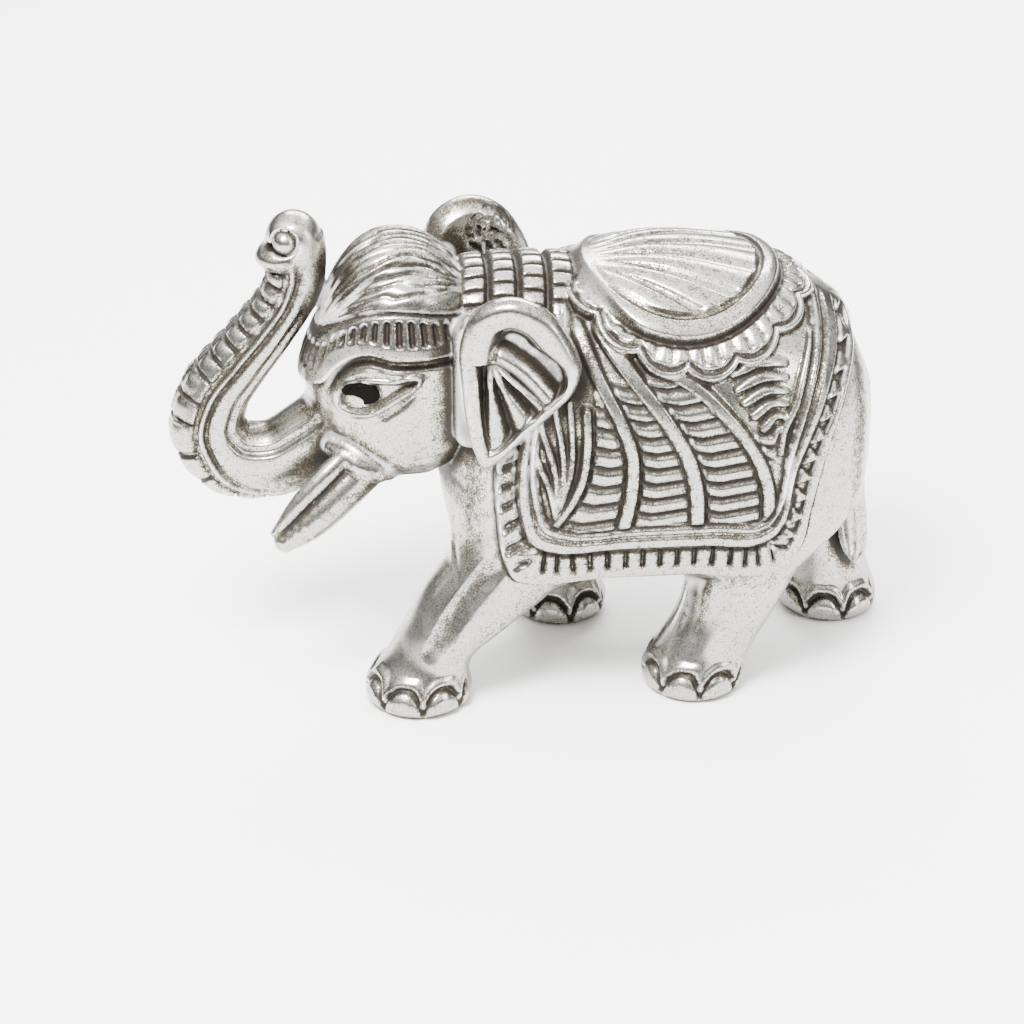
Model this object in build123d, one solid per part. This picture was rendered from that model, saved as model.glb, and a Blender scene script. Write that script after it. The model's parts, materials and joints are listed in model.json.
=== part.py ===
"""A caparisoned elephant figurine in antiqued white metal, built as separate castings and applied ornaments.

Millimetres, +Z up. The elephant faces -X and its left side faces -Y. It stands on four flat soles at Z = 0.
The castings meet face to face where they are soldered, and spigots hold them in line.
"""
from build123d import *

import functools
import math
import os

# ---------------------------------------------------------------- driving dimensions
WALL = 2.4                  # wall of the hollow castings
SOLDER_GAP = 0.05           # gap all round a spigot in its socket
CLOTH_THICK = 1.8           # saddle cloth over the body
RUFF_THICK = 1.0            # scalloped ruff over the cloth
PAD_THICK = 2.2             # saddle pad over the cloth
CAP_THICK = 1.0             # forehead cap over the skull
BAND_THICK = 1.5            # headband over the skull
COLLAR_THICK = 1.4          # neck collars over the neck
BEAD_COUNT = 17             # segments of the strip under the trunk
SCALLOPS = 7                # scallops along each side of the ruff
FAR = 60.0                  # half-size of the cutting solids, larger than the figurine
BACK_Z = 50.0               # height above which a vertical cut meets the back only

# Barrel of the body. Each row: x, half width, top z, middle z, bottom z.
BODY = [
    (-12.0, 6.0, 44.0, 38.0, 32.0),
    (-10.4, 11.5, 49.5, 38.8, 27.8),
    (-6.0, 17.0, 55.8, 41.0, 24.2),
    (0.0, 20.4, 62.2, 43.6, 22.6),
    (8.0, 21.8, 68.0, 45.5, 21.8),
    (17.0, 22.2, 69.8, 46.5, 21.6),
    (30.0, 22.3, 69.8, 46.5, 21.6),
    (41.0, 21.6, 68.4, 46.0, 22.0),
    (48.6, 19.4, 64.8, 45.5, 23.6),
    (54.6, 15.4, 59.6, 44.5, 27.4),
    (58.2, 10.2, 53.6, 43.6, 32.4),
    (59.8, 4.0, 47.6, 43.4, 39.0),
]
BACK_POWER = 2.3            # superellipse power of the back, near a plain ellipse
BELLY_POWER = 6.0           # power of the lower half, which is boxy so that the cloth hangs straight
SECTION_POINTS = 24

# Neck. Each row: x, half width, middle z, half height.
NECK = [(-16.0, 10.0, 56.0, 14.5), (-9.0, 12.0, 56.0, 16.6), (-1.0, 14.2, 55.0, 17.6), (8.0, 15.0, 51.5, 16.6)]

# Head, cut across at each height. Each row: z, front x, back x, half width.
HEAD = [
    (37.9, -22.4, -12.4, 6.0),
    (39.7, -26.8, -9.7, 10.4),
    (43.8, -31.0, -7.6, 13.3),
    (50.0, -33.6, -6.4, 14.2),
    (56.0, -33.8, -5.6, 14.4),
    (62.0, -32.0, -5.4, 14.2),
    (67.4, -29.4, -6.6, 12.8),
    (71.6, -27.0, -9.2, 10.2),
    (74.5, -24.8, -12.6, 7.0),
    (76.0, -22.4, -16.0, 3.6),
]

# Trunk, in the plane y = 0, from the face to the tip. Each row: x, z, radius in the plane, half width.
TRUNK = [
    (-27.8, 45.9, 7.1, 7.2),
    (-33.3, 42.1, 6.8, 6.8),
    (-39.7, 38.9, 6.4, 6.3),
    (-46.4, 39.7, 6.3, 6.1),
    (-49.8, 44.5, 6.0, 5.8),
    (-48.5, 50.6, 5.6, 5.5),
    (-44.4, 56.2, 5.0, 5.2),
    (-39.9, 61.8, 4.6, 4.9),
    (-36.0, 67.5, 4.3, 4.7),
    (-34.4, 73.2, 4.4, 4.6),
    (-35.2, 77.6, 4.4, 4.5),
]
TIP_RADIUS = 4.5            # knob at the end of the trunk
BEAD_RAISE = 1.0            # height of the bead strip over the trunk
BEAD_WRAP = 58.0            # degrees that the strip reaches round each side of the trunk

# Legs: side is -1 on the elephant's left and 1 on its right. Each row: z, x, y, radius along x, radius along y.
LEGS = {
    "leg_front_left": [
        (0.0, -17.2, -14.8, 8.2, 8.2), (2.6, -17.2, -14.8, 8.8, 8.8), (5.4, -16.8, -14.8, 8.0, 7.9),
        (8.2, -15.4, -14.6, 7.4, 7.0), (13.6, -10.8, -14.2, 8.9, 7.2), (19.0, -5.8, -13.6, 10.9, 7.4),
        (25.6, -0.4, -12.6, 11.4, 7.8), (31.0, 2.0, -11.6, 10.4, 7.6),
    ],
    "leg_front_right": [
        (0.0, 9.6, 13.4, 8.0, 8.0), (2.6, 9.6, 13.4, 8.5, 8.5), (5.4, 9.4, 13.4, 7.7, 7.7),
        (8.2, 8.8, 13.4, 6.9, 6.8), (14.0, 7.6, 13.2, 7.2, 7.0), (20.0, 6.2, 12.8, 8.4, 7.3),
        (26.0, 5.2, 12.2, 9.4, 7.6), (31.0, 5.0, 11.6, 9.2, 7.6),
    ],
    "leg_hind_left": [
        (0.0, 29.3, -14.6, 7.9, 7.9), (2.6, 29.3, -14.6, 8.4, 8.4), (5.4, 29.9, -14.6, 8.2, 7.8),
        (8.2, 31.4, -14.5, 8.1, 7.2), (14.0, 34.6, -14.2, 8.2, 7.1), (20.0, 37.0, -13.6, 9.0, 7.4),
        (26.0, 38.6, -12.6, 10.0, 7.6), (31.0, 39.4, -11.6, 10.0, 7.6),
    ],
    "leg_hind_right": [
        (0.0, 57.4, 9.6, 8.0, 8.0), (2.6, 57.4, 9.6, 8.6, 8.6), (5.4, 57.2, 9.6, 8.0, 7.9),
        (8.2, 56.8, 9.6, 7.4, 7.3), (14.0, 55.4, 9.8, 7.2, 7.1), (20.0, 53.0, 10.2, 7.6, 7.3),
        (26.0, 49.8, 10.6, 8.4, 7.5), (33.0, 46.6, 10.8, 8.6, 7.4),
    ],
}
LEG_SPIGOT = 4.2            # radius
LEG_SPIGOT_LOW = 21.5       # height that the leg spigots start at
LEG_SPIGOT_TOP = 40.0       # height that they reach inside the body
NECK_SPIGOT = 8.0           # radius of the neck's spigot
NECK_SPIGOT_Z = 52.0
NECK_SPIGOT_END = 3.0       # x that it reaches inside the body

# Tusk on the left: x, y, z, radius. The right one mirrors it.
TUSK = [(-26.4, -9.6, 42.4, 3.8), (-30.8, -11.0, 38.2, 3.5), (-35.2, -12.4, 33.6, 2.8), (-39.0, -13.2, 29.7, 1.7)]
TUSK_PEG = (1.5, 4.0)       # radius and length of the peg that holds a tusk in the jaw

# Ear on the left, as an outline in the ear's own plane: x back along the ear, z up.
EAR_CENTRE = (-1.0, -22.2, 60.0)
EAR_TURN = 12.0             # degrees that the back edge stands out from the head
EAR_THICK = 3.0
EAR = [
    (-9.4, -1.0), (-9.6, 6.6), (-7.2, 12.0), (-1.6, 14.4), (3.8, 12.6), (8.0, 7.0), (9.4, 1.8),
    (7.6, -2.2), (2.8, -8.0), (-2.0, -12.4), (-6.4, -14.8), (-8.6, -9.0),
]
EAR_RIGHT_FORWARD = 2.0     # how much further forward the right ear sits
EAR_LUG = (-6.2, 2.6, 2.2)  # place in the ear's plane, and radius, of the lug that holds the ear

# Eye on the left: centre and half sizes of the enamelled pupil. It lies in the skull's side.
EYE = (-25.6, -13.0, 55.5)
EYE_HALF = (2.9, 1.3, 1.85)

# Tail: x, y, z, radius, from the rump down to the tuft.
TAIL = [
    (54.6, 0.0, 54.0, 2.6), (57.6, 0.0, 49.0, 2.4), (58.6, 0.0, 42.0, 2.1), (58.4, 0.0, 34.0, 2.0),
    (58.6, 0.0, 26.0, 2.2), (59.2, 0.0, 20.0, 2.6), (59.8, 0.0, 15.6, 2.2), (60.2, 0.0, 12.8, 1.0),
]

# Side outlines, x and z, cut straight through from side to side.
CLOTH = [
    (0.4, 24.4), (41.2, 24.4), (43.8, 25.6), (45.4, 28.4), (46.8, 35.3), (49.7, 47.3), (53.3, 56.4), (56.2, 62.0),
    (56.2, 80.0), (6.6, 80.0), (5.4, 68.0), (1.0, 60.0), (-3.4, 51.0), (-4.8, 43.0), (-4.2, 34.0), (-3.2, 27.8),
    (-1.8, 25.2),
]
PAD = (26.4, 17.3, 19.2)     # plan of the pad: x of its centre, half length, half width
RUFF = [
    (7.0, 69.0), (9.2, 65.6), (11.9, 62.8), (16.1, 60.5), (21.9, 59.0), (27.4, 58.2), (33.0, 57.9), (38.0, 58.8),
    (42.3, 60.8), (45.5, 63.4), (48.4, 67.4),
]
SCALLOP_DEPTH = 1.2
COLLARS = {"collar_front": -6.4, "collar_middle": -1.6, "collar_rear": 3.2}
COLLAR_WIDTH = 4.3
COLLAR_LEAN = 8.0           # degrees that the collars lean forward at the throat
COLLAR_PIVOT_Z = 74.0       # height that the x of a collar is given at

# Headband and cap, as heights on the skull.
BAND_LOW, BAND_HIGH = 61.8, 68.8        # at the side of the head
BAND_DIP = 6.8                          # how far the band drops at the brow
BAND_DIP_FROM = -23.0                   # x where it starts to drop


# ---------------------------------------------------------------- shape helpers
def through_solid(sections):
    """A smooth solid through closed sections, given as faces."""
    return Solid.make_loft([face.outer_wire() for face in sections])


def egg_section(x, half_width, top, middle, bottom, grow):
    """Cross-section of the barrel: rounded back, boxy belly."""
    points = []
    for i in range(SECTION_POINTS):
        turn = 2 * math.pi * i / SECTION_POINTS
        across, up = math.cos(turn), math.sin(turn)
        power = BACK_POWER if up >= 0 else BELLY_POWER
        reach = (top - middle if up >= 0 else middle - bottom) + grow
        y = (half_width + grow) * math.copysign(abs(across) ** (2 / power), across)
        z = middle + reach * math.copysign(abs(up) ** (2 / power), up)
        points.append(Vector(x, y, z))
    steps = [i / SECTION_POINTS for i in range(SECTION_POINTS + 1)]
    return Face(Wire([Edge.make_spline(points, periodic=True, parameters=steps)]))


@functools.cache
def body_form(grow=0.0):
    """The barrel, with every section larger by grow and its ends further out by grow."""
    middle = (BODY[0][0] + BODY[-1][0]) / 2
    stretch = 1 + grow / (BODY[-1][0] - middle)
    return through_solid([egg_section(middle + (row[0] - middle) * stretch, *row[1:], grow) for row in BODY])


def oval(plane, radius_a, radius_b):
    """An elliptical face on a plane."""
    return (plane * Ellipse(radius_a, radius_b)).faces()[0]


@functools.cache
def neck_form(grow=0.0):
    """The neck, an oval tube along X."""
    return through_solid([
        oval(Plane(origin=(x, 0, z), x_dir=(0, 1, 0), z_dir=(1, 0, 0)), half + grow, tall + grow)
        for x, half, z, tall in NECK
    ])


@functools.cache
def head_form(grow=0.0):
    """The skull, cheeks and jaw, as ovals stacked along Z."""
    middle = (HEAD[0][0] + HEAD[-1][0]) / 2
    stretch = 1 + grow / (HEAD[-1][0] - middle)
    sections = []
    for z, front, back, half in HEAD:
        centre = ((front + back) / 2, 0, middle + (z - middle) * stretch)
        plane = Plane(origin=centre, x_dir=(1, 0, 0), z_dir=(0, 0, 1))
        sections.append(oval(plane, (back - front) / 2 + grow, half + grow))
    return through_solid(sections)


def tube_form(stations, grow=0.0):
    """A round tapering form through stations (x, y, z, radius), square to its own line."""
    points = [Vector(*row[:3]) for row in stations]
    sections = []
    for i, row in enumerate(stations):
        before, after = points[max(i - 1, 0)], points[min(i + 1, len(points) - 1)]
        plane = Plane(origin=points[i], x_dir=(0, 1, 0), z_dir=(after - before).normalized())
        sections.append(oval(plane, row[3] + grow, row[3] + grow))
    return through_solid(sections)


def trunk_line():
    """Points of the trunk's centre line."""
    return [Vector(x, 0, z) for x, z, _, _ in TRUNK]


def trunk_form(grow=0.0):
    """The trunk, as ovals square to its centre line."""
    line = trunk_line()
    sections = []
    for i, (_, _, radius, half) in enumerate(TRUNK):
        along = (line[min(i + 1, len(line) - 1)] - line[max(i - 1, 0)]).normalized()
        plane = Plane(origin=line[i], x_dir=(0, 1, 0), z_dir=along)
        sections.append(oval(plane, half + grow, radius + grow))
    return through_solid(sections)


def leg_form(name):
    """A leg and its foot, as level ovals."""
    return through_solid([
        oval(Plane(origin=(x, y, z), x_dir=(1, 0, 0), z_dir=(0, 0, 1)), along, across)
        for z, x, y, along, across in LEGS[name]
    ])


def side_prism(points):
    """A solid cut straight through from side to side with the outline given as x and z."""
    outline = Wire.make_polygon([Vector(x, -FAR, z) for x, z in points], close=True)
    return Solid.extrude(Face(outline), Vector(0, 2 * FAR, 0))


def pad_prism():
    """Everything inside the pad's plan, an oval seen from above."""
    centre, half_length, half_width = PAD
    plan = oval(Plane(origin=(centre, 0, BACK_Z), x_dir=(1, 0, 0), z_dir=(0, 0, 1)), half_length, half_width)
    return Solid.extrude(plan, Vector(0, 0, FAR))


def mirrored(shape):
    """The same piece on the other side of the elephant."""
    return shape.mirror(Plane.XZ)


def as_part(shape):
    """One shape out of whatever a boolean gave back."""
    if isinstance(shape, (list, ShapeList)):
        return Part(children=list(shape)) if len(shape) != 1 else shape[0]
    return shape


def common(first, second):
    """What two shapes share."""
    return as_part(first & second)


def cut(shape, *tools):
    """A shape with every tool taken away."""
    for tool in tools:
        shape = as_part(shape - tool)
    return shape


def fused(*shapes):
    """Several shapes as one."""
    whole = shapes[0]
    for shape in shapes[1:]:
        whole = as_part(whole + shape)
    return whole


# ---------------------------------------------------------------- castings
def leg_socket(name, gap):
    """The cylinder of a leg's spigot, upright over the leg's top."""
    _, x, y, _, _ = LEGS[name][-2]
    height = LEG_SPIGOT_TOP - LEG_SPIGOT_LOW
    return Pos(x, y, LEG_SPIGOT_LOW + height / 2) * Cylinder(LEG_SPIGOT + gap, height)


def neck_socket(gap):
    """The cylinder of the neck's spigot, level along X."""
    start = -14.0
    turn = Rot(0, 90, 0)
    length = NECK_SPIGOT_END - start
    return Pos(start + length / 2, 0, NECK_SPIGOT_Z) * turn * Cylinder(NECK_SPIGOT + gap, length)


def torso():
    """Hollow barrel with sockets for the neck, the legs and the tail."""
    sockets = [leg_socket(name, SOLDER_GAP) for name in LEGS]
    return cut(body_form(), body_form(-WALL), neck_socket(SOLDER_GAP), tail_form(), *sockets)


@functools.cache
def leg(name):
    """A leg cut to the barrel, with its spigot."""
    return fused(cut(leg_form(name), body_form()), leg_socket(name, 0.0))


@functools.cache
def tail_form():
    """Tail root, switch and tuft in one line."""
    return tube_form(TAIL)


def tail():
    """The tail clear of the hind leg and the cloth."""
    draped = common(body_form(CLOTH_THICK), side_prism(CLOTH))
    return cut(tail_form(), body_form(-WALL), draped, leg("leg_hind_right"))


def eye(grow=0.0):
    """Enamelled pupil of the left eye, an oval pebble."""
    pebble = scale(Sphere(1.0), by=tuple(half + grow for half in EYE_HALF))
    return Pos(*EYE) * pebble


@functools.cache
def tusk():
    """Left tusk with the peg that goes into the jaw."""
    root, second = Vector(*TUSK[0][:3]), Vector(*TUSK[1][:3])
    inward = (root - second).normalized()
    tip = Vector(*TUSK[-1][:3])
    peg = Solid.make_cylinder(TUSK_PEG[0], TUSK_PEG[1], Plane(origin=root, z_dir=inward))
    return cut(fused(tube_form(TUSK), Pos(tip.X, tip.Y, tip.Z) * Sphere(TUSK[-1][3]), peg), trunk())


def ear_plane():
    """The plane that the left ear lies in, its normal pointing away from the head."""
    turn = math.radians(EAR_TURN)
    return Plane(origin=EAR_CENTRE, x_dir=(math.cos(turn), -math.sin(turn), 0),
                 z_dir=(-math.sin(turn), -math.cos(turn), 0))


@functools.cache
def ear():
    """Left ear, a thick leaf with its lug, bedded on the cloth at the back."""
    plane = ear_plane()
    outline = Wire([Edge.make_spline([plane.from_local_coords(Vector(x, z, 0)) for x, z in EAR], periodic=True)])
    normal = plane.z_dir
    leaf = Solid.extrude(Face(outline), normal * -EAR_THICK)
    x, z, radius = EAR_LUG
    foot = plane.from_local_coords(Vector(x, z, -EAR_THICK / 2))
    lug = Solid.make_cylinder(radius, 10.0, Plane(origin=foot, z_dir=(0, 1, 0)))
    return fused(cut(leaf, body_form(CLOTH_THICK)), lug)


def head():
    """Hollow skull and neck, with its spigot and the seats of everything that it carries."""
    form = fused(cut(fused(head_form(), neck_form()), body_form()), neck_socket(0.0))
    hollow = cut(fused(head_form(-WALL), neck_form(-WALL)), body_form(WALL))
    bore = Pos(-2.0, 0, NECK_SPIGOT_Z) * Rot(0, 90, 0) * Cylinder(NECK_SPIGOT - WALL, 30.0)
    seats = [ear(), right_ear()]
    for piece in (eye(), tusk()):
        seats += [piece, mirrored(piece)]
    return cut(form, hollow, bore, trunk_form(), *seats)


@functools.cache
def trunk():
    """The trunk, whole, with the knob and lip at its tip."""
    x, z, _, _ = TRUNK[-1]
    knob = Pos(x, 0, z) * Sphere(TIP_RADIUS)
    lip = Pos(x - 3.4, 0, z - 1.2) * scale(Sphere(1.0), by=(2.6, 3.2, 1.9))
    return fused(trunk_form(), knob, lip)


# ---------------------------------------------------------------- applied ornaments
def cloth():
    """Saddle cloth, a sheet over the back and down both sides."""
    sheet = common(cut(body_form(CLOTH_THICK), body_form()), side_prism(CLOTH))
    return cut(sheet, neck_form(COLLAR_THICK), *[leg(name) for name in LEGS])


def pad():
    """Saddle pad on top of the cloth."""
    return common(cut(body_form(CLOTH_THICK + PAD_THICK), body_form(CLOTH_THICK)), pad_prism())


def ruff_curve():
    """Lower edge of the ruff: scallops hung between points of the side curve."""
    curve = Edge.make_spline([Vector(x, -FAR, z) for x, z in RUFF])
    knots = [curve.position_at(i / SCALLOPS) for i in range(SCALLOPS + 1)]
    edges = []
    for start, end in zip(knots, knots[1:]):
        chord = (end - start).normalized()
        middle = (start + end) / 2 + Vector(chord.Z, 0, -chord.X) * SCALLOP_DEPTH
        edges.append(Edge.make_three_point_arc(start, middle, end))
    return edges, knots


def ruff():
    """Scalloped ruff between the pad and the cloth."""
    edges, knots = ruff_curve()
    high_end, high_start = Vector(knots[-1].X, -FAR, 90), Vector(knots[0].X, -FAR, 90)
    sides = [Edge.make_line(knots[-1], high_end), Edge.make_line(high_end, high_start),
             Edge.make_line(high_start, knots[0])]
    prism = Solid.extrude(Face(Wire(edges + sides)), Vector(0, 2 * FAR, 0))
    ring = common(cut(body_form(CLOTH_THICK + RUFF_THICK), body_form(CLOTH_THICK)), prism)
    return cut(ring, pad_prism())


@functools.cache
def right_ear():
    """Right ear, the mirror of the left one and a little further forward."""
    return Pos(-EAR_RIGHT_FORWARD, 0, 0) * mirrored(ear())


def collar(x):
    """One collar round the neck, in front of the body and the cloth."""
    slab = Pos(x, 0, COLLAR_PIVOT_Z) * Rot(0, COLLAR_LEAN, 0) * Box(COLLAR_WIDTH, 2 * FAR, 3 * FAR)
    ring = common(cut(neck_form(COLLAR_THICK), neck_form()), slab)
    return cut(ring, body_form(), head_form(BAND_THICK), ear(), right_ear())


def band_edge(height):
    """Everything above the headband's edge at that height, dipping at the brow."""
    front, back = -FAR, 0.0
    points = [(back, height + 0.6), (BAND_DIP_FROM + 10, height), (BAND_DIP_FROM, height - 0.4),
              (-29.5, height - BAND_DIP / 2), (-36.0, height - BAND_DIP)]
    corners = [Vector(x, -FAR, z) for x, z in points]
    top_front, top_back = Vector(corners[-1].X, -FAR, 90), Vector(corners[0].X, -FAR, 90)
    outline = Wire([Edge.make_spline(corners), Edge.make_line(corners[-1], top_front),
                    Edge.make_line(top_front, top_back), Edge.make_line(top_back, corners[0])])
    return Solid.extrude(Face(outline), Vector(0, 2 * FAR, 0))


def clearances():
    """What an ornament on the skull keeps clear of: the collars, the trunk and the ears."""
    return [neck_form(COLLAR_THICK), trunk(), ear(), right_ear()]


def headband():
    """Fluted band round the brow."""
    shell = cut(head_form(BAND_THICK), head_form())
    return cut(common(shell, band_edge(BAND_LOW)), band_edge(BAND_HIGH), *clearances())


def cap():
    """Pleated cap over the top of the head."""
    shell = cut(head_form(CAP_THICK), head_form())
    return cut(common(shell, band_edge(BAND_HIGH)), *clearances())


def bead_strip():
    """Segmented strip on the underside of the trunk, from the chin to below the lip."""
    line = trunk_line()
    sections_out, sections_in = [], []
    for i, (_, _, radius, half) in enumerate(TRUNK[1:-1], start=1):
        along = (line[i + 1] - line[i - 1]).normalized()
        under = Vector(-along.Z, 0, along.X)
        for store, grow in ((sections_out, BEAD_RAISE), (sections_in, 0.0)):
            points = []
            for step in range(9):
                turn = math.radians(BEAD_WRAP * (step / 4 - 1))
                away = under * ((radius + grow) * math.cos(turn))
                points.append(line[i] + away + Vector(0, (half + grow) * math.sin(turn), 0))
            store.append(points)
    faces = []
    for outer, inner in zip(sections_out, sections_in):
        wire = Wire([Edge.make_spline(outer), Edge.make_line(outer[-1], inner[-1]),
                     Edge.make_spline(inner[::-1]), Edge.make_line(inner[0], outer[0])])
        faces.append(Face(wire))
    return cut(through_solid(faces), trunk())


def pieces():
    """Every piece by name."""
    made = {
        "torso": torso(),
        "head": head(),
        "trunk": trunk(),
        "trunk_bead_strip": bead_strip(),
        "forehead_cap": cap(),
        "headband": headband(),
        "ear_left": ear(),
        "ear_right": right_ear(),
        "tail": tail(),
        "saddle_cloth": cloth(),
        "saddle_pad": pad(),
        "scalloped_ruff": ruff(),
    }
    for name, make in (("tusk", tusk), ("eye", eye)):
        made[name + "_left"] = make()
        made[name + "_right"] = mirrored(made[name + "_left"])
    for name in LEGS:
        made[name] = leg(name)
    for name, x in COLLARS.items():
        made[name] = collar(x)
    return made


def centred(made):
    """Every piece moved so that the whole figurine is centred over the origin."""
    box = Compound(children=[solid for shape in made.values() for solid in shape.solids()]).bounding_box()
    shift = Pos(-(box.min.X + box.max.X) / 2, -(box.min.Y + box.max.Y) / 2, 0)
    return {name: shift * shape for name, shape in made.items()}


if __name__ == "__main__":
    os.makedirs("parts", exist_ok=True)
    for name, shape in centred(pieces()).items():
        export_step(shape, f"parts/{name}.step")
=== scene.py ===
"""Looks for a caparisoned elephant figurine in antiqued silver-coloured metal.

The figurine is one continuous sculpted surface, described as a signed distance field in its own
millimetres. The surface is cut out of the field and shared out among the pieces that the CAD names.
Each piece is closed into a thin cast shell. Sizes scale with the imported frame.
"""

import itertools
import json
import math

import bpy
import numpy as np
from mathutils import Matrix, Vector


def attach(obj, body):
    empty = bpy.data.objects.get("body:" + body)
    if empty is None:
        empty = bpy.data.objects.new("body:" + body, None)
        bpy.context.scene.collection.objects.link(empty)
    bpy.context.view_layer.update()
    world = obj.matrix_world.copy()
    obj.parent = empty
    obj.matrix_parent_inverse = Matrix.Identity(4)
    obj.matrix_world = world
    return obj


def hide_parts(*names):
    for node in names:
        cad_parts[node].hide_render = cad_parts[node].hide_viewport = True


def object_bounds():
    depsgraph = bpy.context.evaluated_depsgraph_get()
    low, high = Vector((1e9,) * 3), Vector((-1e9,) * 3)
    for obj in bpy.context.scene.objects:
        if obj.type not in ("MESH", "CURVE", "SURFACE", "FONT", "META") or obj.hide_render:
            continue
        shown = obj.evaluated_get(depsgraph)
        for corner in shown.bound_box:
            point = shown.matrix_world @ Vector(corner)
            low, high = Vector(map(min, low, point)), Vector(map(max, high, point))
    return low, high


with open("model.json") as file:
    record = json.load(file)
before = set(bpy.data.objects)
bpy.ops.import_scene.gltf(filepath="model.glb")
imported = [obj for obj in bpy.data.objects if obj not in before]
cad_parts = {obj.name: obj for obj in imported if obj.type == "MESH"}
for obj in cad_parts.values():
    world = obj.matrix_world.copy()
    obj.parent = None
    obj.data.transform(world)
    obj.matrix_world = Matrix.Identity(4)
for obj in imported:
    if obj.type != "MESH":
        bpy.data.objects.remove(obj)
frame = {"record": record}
cad_box = [list(corner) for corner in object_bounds()]

# ---------------- from the frame to the sculpture's millimetres
LENGTH = 122.88                     # the figurine's length in its own millimetres, trunk to hind foot
REAR = 66.0                         # x of the rearmost point in its own millimetres
low_corner, high_corner = Vector(cad_box[0]), Vector(cad_box[1])
MM = (high_corner.x - low_corner.x) / LENGTH
SHIFT_X = high_corner.x - REAR * MM
STEP = 0.3   # size of the cells that the surface is cut out with
SHELL = 0.6                         # wall of each closed piece
BIG = 9.0                           # stands for any distance that is too far to matter
FAR = 1e9                           # more than any squared distance
MARGIN = 4.6                        # how far round a part its field is worked out
TINY, SMALL = 1e-9, 1e-6            # least values that are divided by
CORNERS = list(itertools.product((0, 1), repeat=3))
FLIP = np.array([1, -1, 1])         # mirrors a point to the other side
HASH_PRIMES = (73856093, 19349663, 83492791)
HASH_MIX, HASH_TOP = 2654435761, 0xFFFFFF

# ---------------- curves and small field helpers


def hermite(knots, values, at):
    """A smooth curve through values given at knots."""
    knots, values = np.asarray(knots, float), np.asarray(values, float)
    slope = np.gradient(values, knots)
    i = np.clip(np.searchsorted(knots, at) - 1, 0, len(knots) - 2)
    span = knots[i + 1] - knots[i]
    t = np.clip((at - knots[i]) / span, 0, 1)
    return ((1 + 2 * t) * (1 - t) ** 2 * values[i] + t * (1 - t) ** 2 * span * slope[i]
            + t * t * (3 - 2 * t) * values[i + 1] + t * t * (t - 1) * span * slope[i + 1])


class Table:
    """Smooth columns over one coordinate, with their slopes, looked up quickly."""

    def __init__(self, rows, count=600):
        rows = np.array(rows, float)
        self.at = np.linspace(rows[0, 0], rows[-1, 0], count)
        self.columns = [hermite(rows[:, 0], rows[:, i], self.at) for i in range(1, rows.shape[1])]
        self.slopes = [np.gradient(column, self.at) for column in self.columns]

    def __call__(self, x):
        return [np.interp(x, self.at, column) for column in self.columns]

    def slope(self, x):
        return [np.interp(x, self.at, column) for column in self.slopes]


def smooth_line(points, per_span=6, closed=False):
    """Points along a smooth curve through the given ones."""
    points = np.array(points, float)
    if closed:
        points = np.vstack([points, points[:1]])
    gaps = np.linalg.norm(np.diff(points[:, :3], axis=0), axis=1)
    along = np.concatenate([[0], np.cumsum(gaps)])
    at = np.concatenate([np.linspace(a, b, per_span, endpoint=False) for a, b in zip(along[:-1], along[1:])])
    if not closed:
        at = np.append(at, along[-1])
        return np.column_stack([hermite(along, points[:, i], at) for i in range(points.shape[1])])
    total = along[-1]
    knots = np.concatenate([along[-3:-1] - total, along, along[1:3] + total])
    ring = np.vstack([points[-3:-1], points, points[1:3]])
    return np.column_stack([hermite(knots, ring[:, i], at) for i in range(ring.shape[1])])


def ramp(x, low, high):
    """0 below low, 1 above high, smooth between."""
    t = np.clip((x - low) / (high - low), 0, 1)
    return t * t * (3 - 2 * t)


def bump(distance, half):
    """A rounded ridge, 1 on its line and 0 from half away."""
    return np.clip(1 - (distance / half) ** 2, 0, 1) ** 1.5


def join(a, b, k):
    """Union of two fields with a fillet of about k."""
    h = np.maximum(k - np.abs(a - b), 0) / k
    return np.minimum(a, b) - h * h * k * 0.25


def meet(a, b, k):
    """Intersection of two fields with a rounded edge of about k."""
    return -join(-a, -b, k)


def line_distance(line, u, v):
    """Distance to a polyline in a plane, the run to the nearest point, and the side that it is passed on."""
    best = np.full(u.shape, FAR)
    along, side = np.zeros(u.shape), np.zeros(u.shape)
    run = 0.0
    for (au, av), (bu, bv) in zip(line[:-1], line[1:]):
        du, dv = bu - au, bv - av
        length = math.hypot(du, dv)
        t = np.clip(((u - au) * du + (v - av) * dv) / (length * length), 0, 1)
        d = (u - au - t * du) ** 2 + (v - av - t * dv) ** 2
        nearer = d < best
        best = np.where(nearer, d, best)
        along = np.where(nearer, run + t * length, along)
        side = np.where(nearer, np.where((v - av) * du > (u - au) * dv, -1, 1), side)
        run += length
    return np.sqrt(best), along, side


def curve_distance(points, u, v, per_span=5):
    """Distance to the smooth curve through points in a plane."""
    return line_distance(smooth_line(points, per_span), u, v)[0]


def inside(line, u, v):
    """Whether points in a plane are inside a closed polyline."""
    odd = np.zeros(u.shape, bool)
    ring = np.vstack([line, line[:1]])
    for (au, av), (bu, bv) in zip(ring[:-1], ring[1:]):
        if av == bv:
            continue
        crosses = (av > v) != (bv > v)
        odd ^= crosses & (u < (bu - au) * (v - av) / (bv - av) + au)
    return odd


def outline_distance(points, u, v, per_span=4):
    """Signed distance to a smooth closed outline, negative inside, and the run along it."""
    line = smooth_line(points, per_span, True)
    d, along, _ = line_distance(np.vstack([line, line[:1]]), u, v)
    return np.where(inside(line, u, v), -d, d), along


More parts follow.
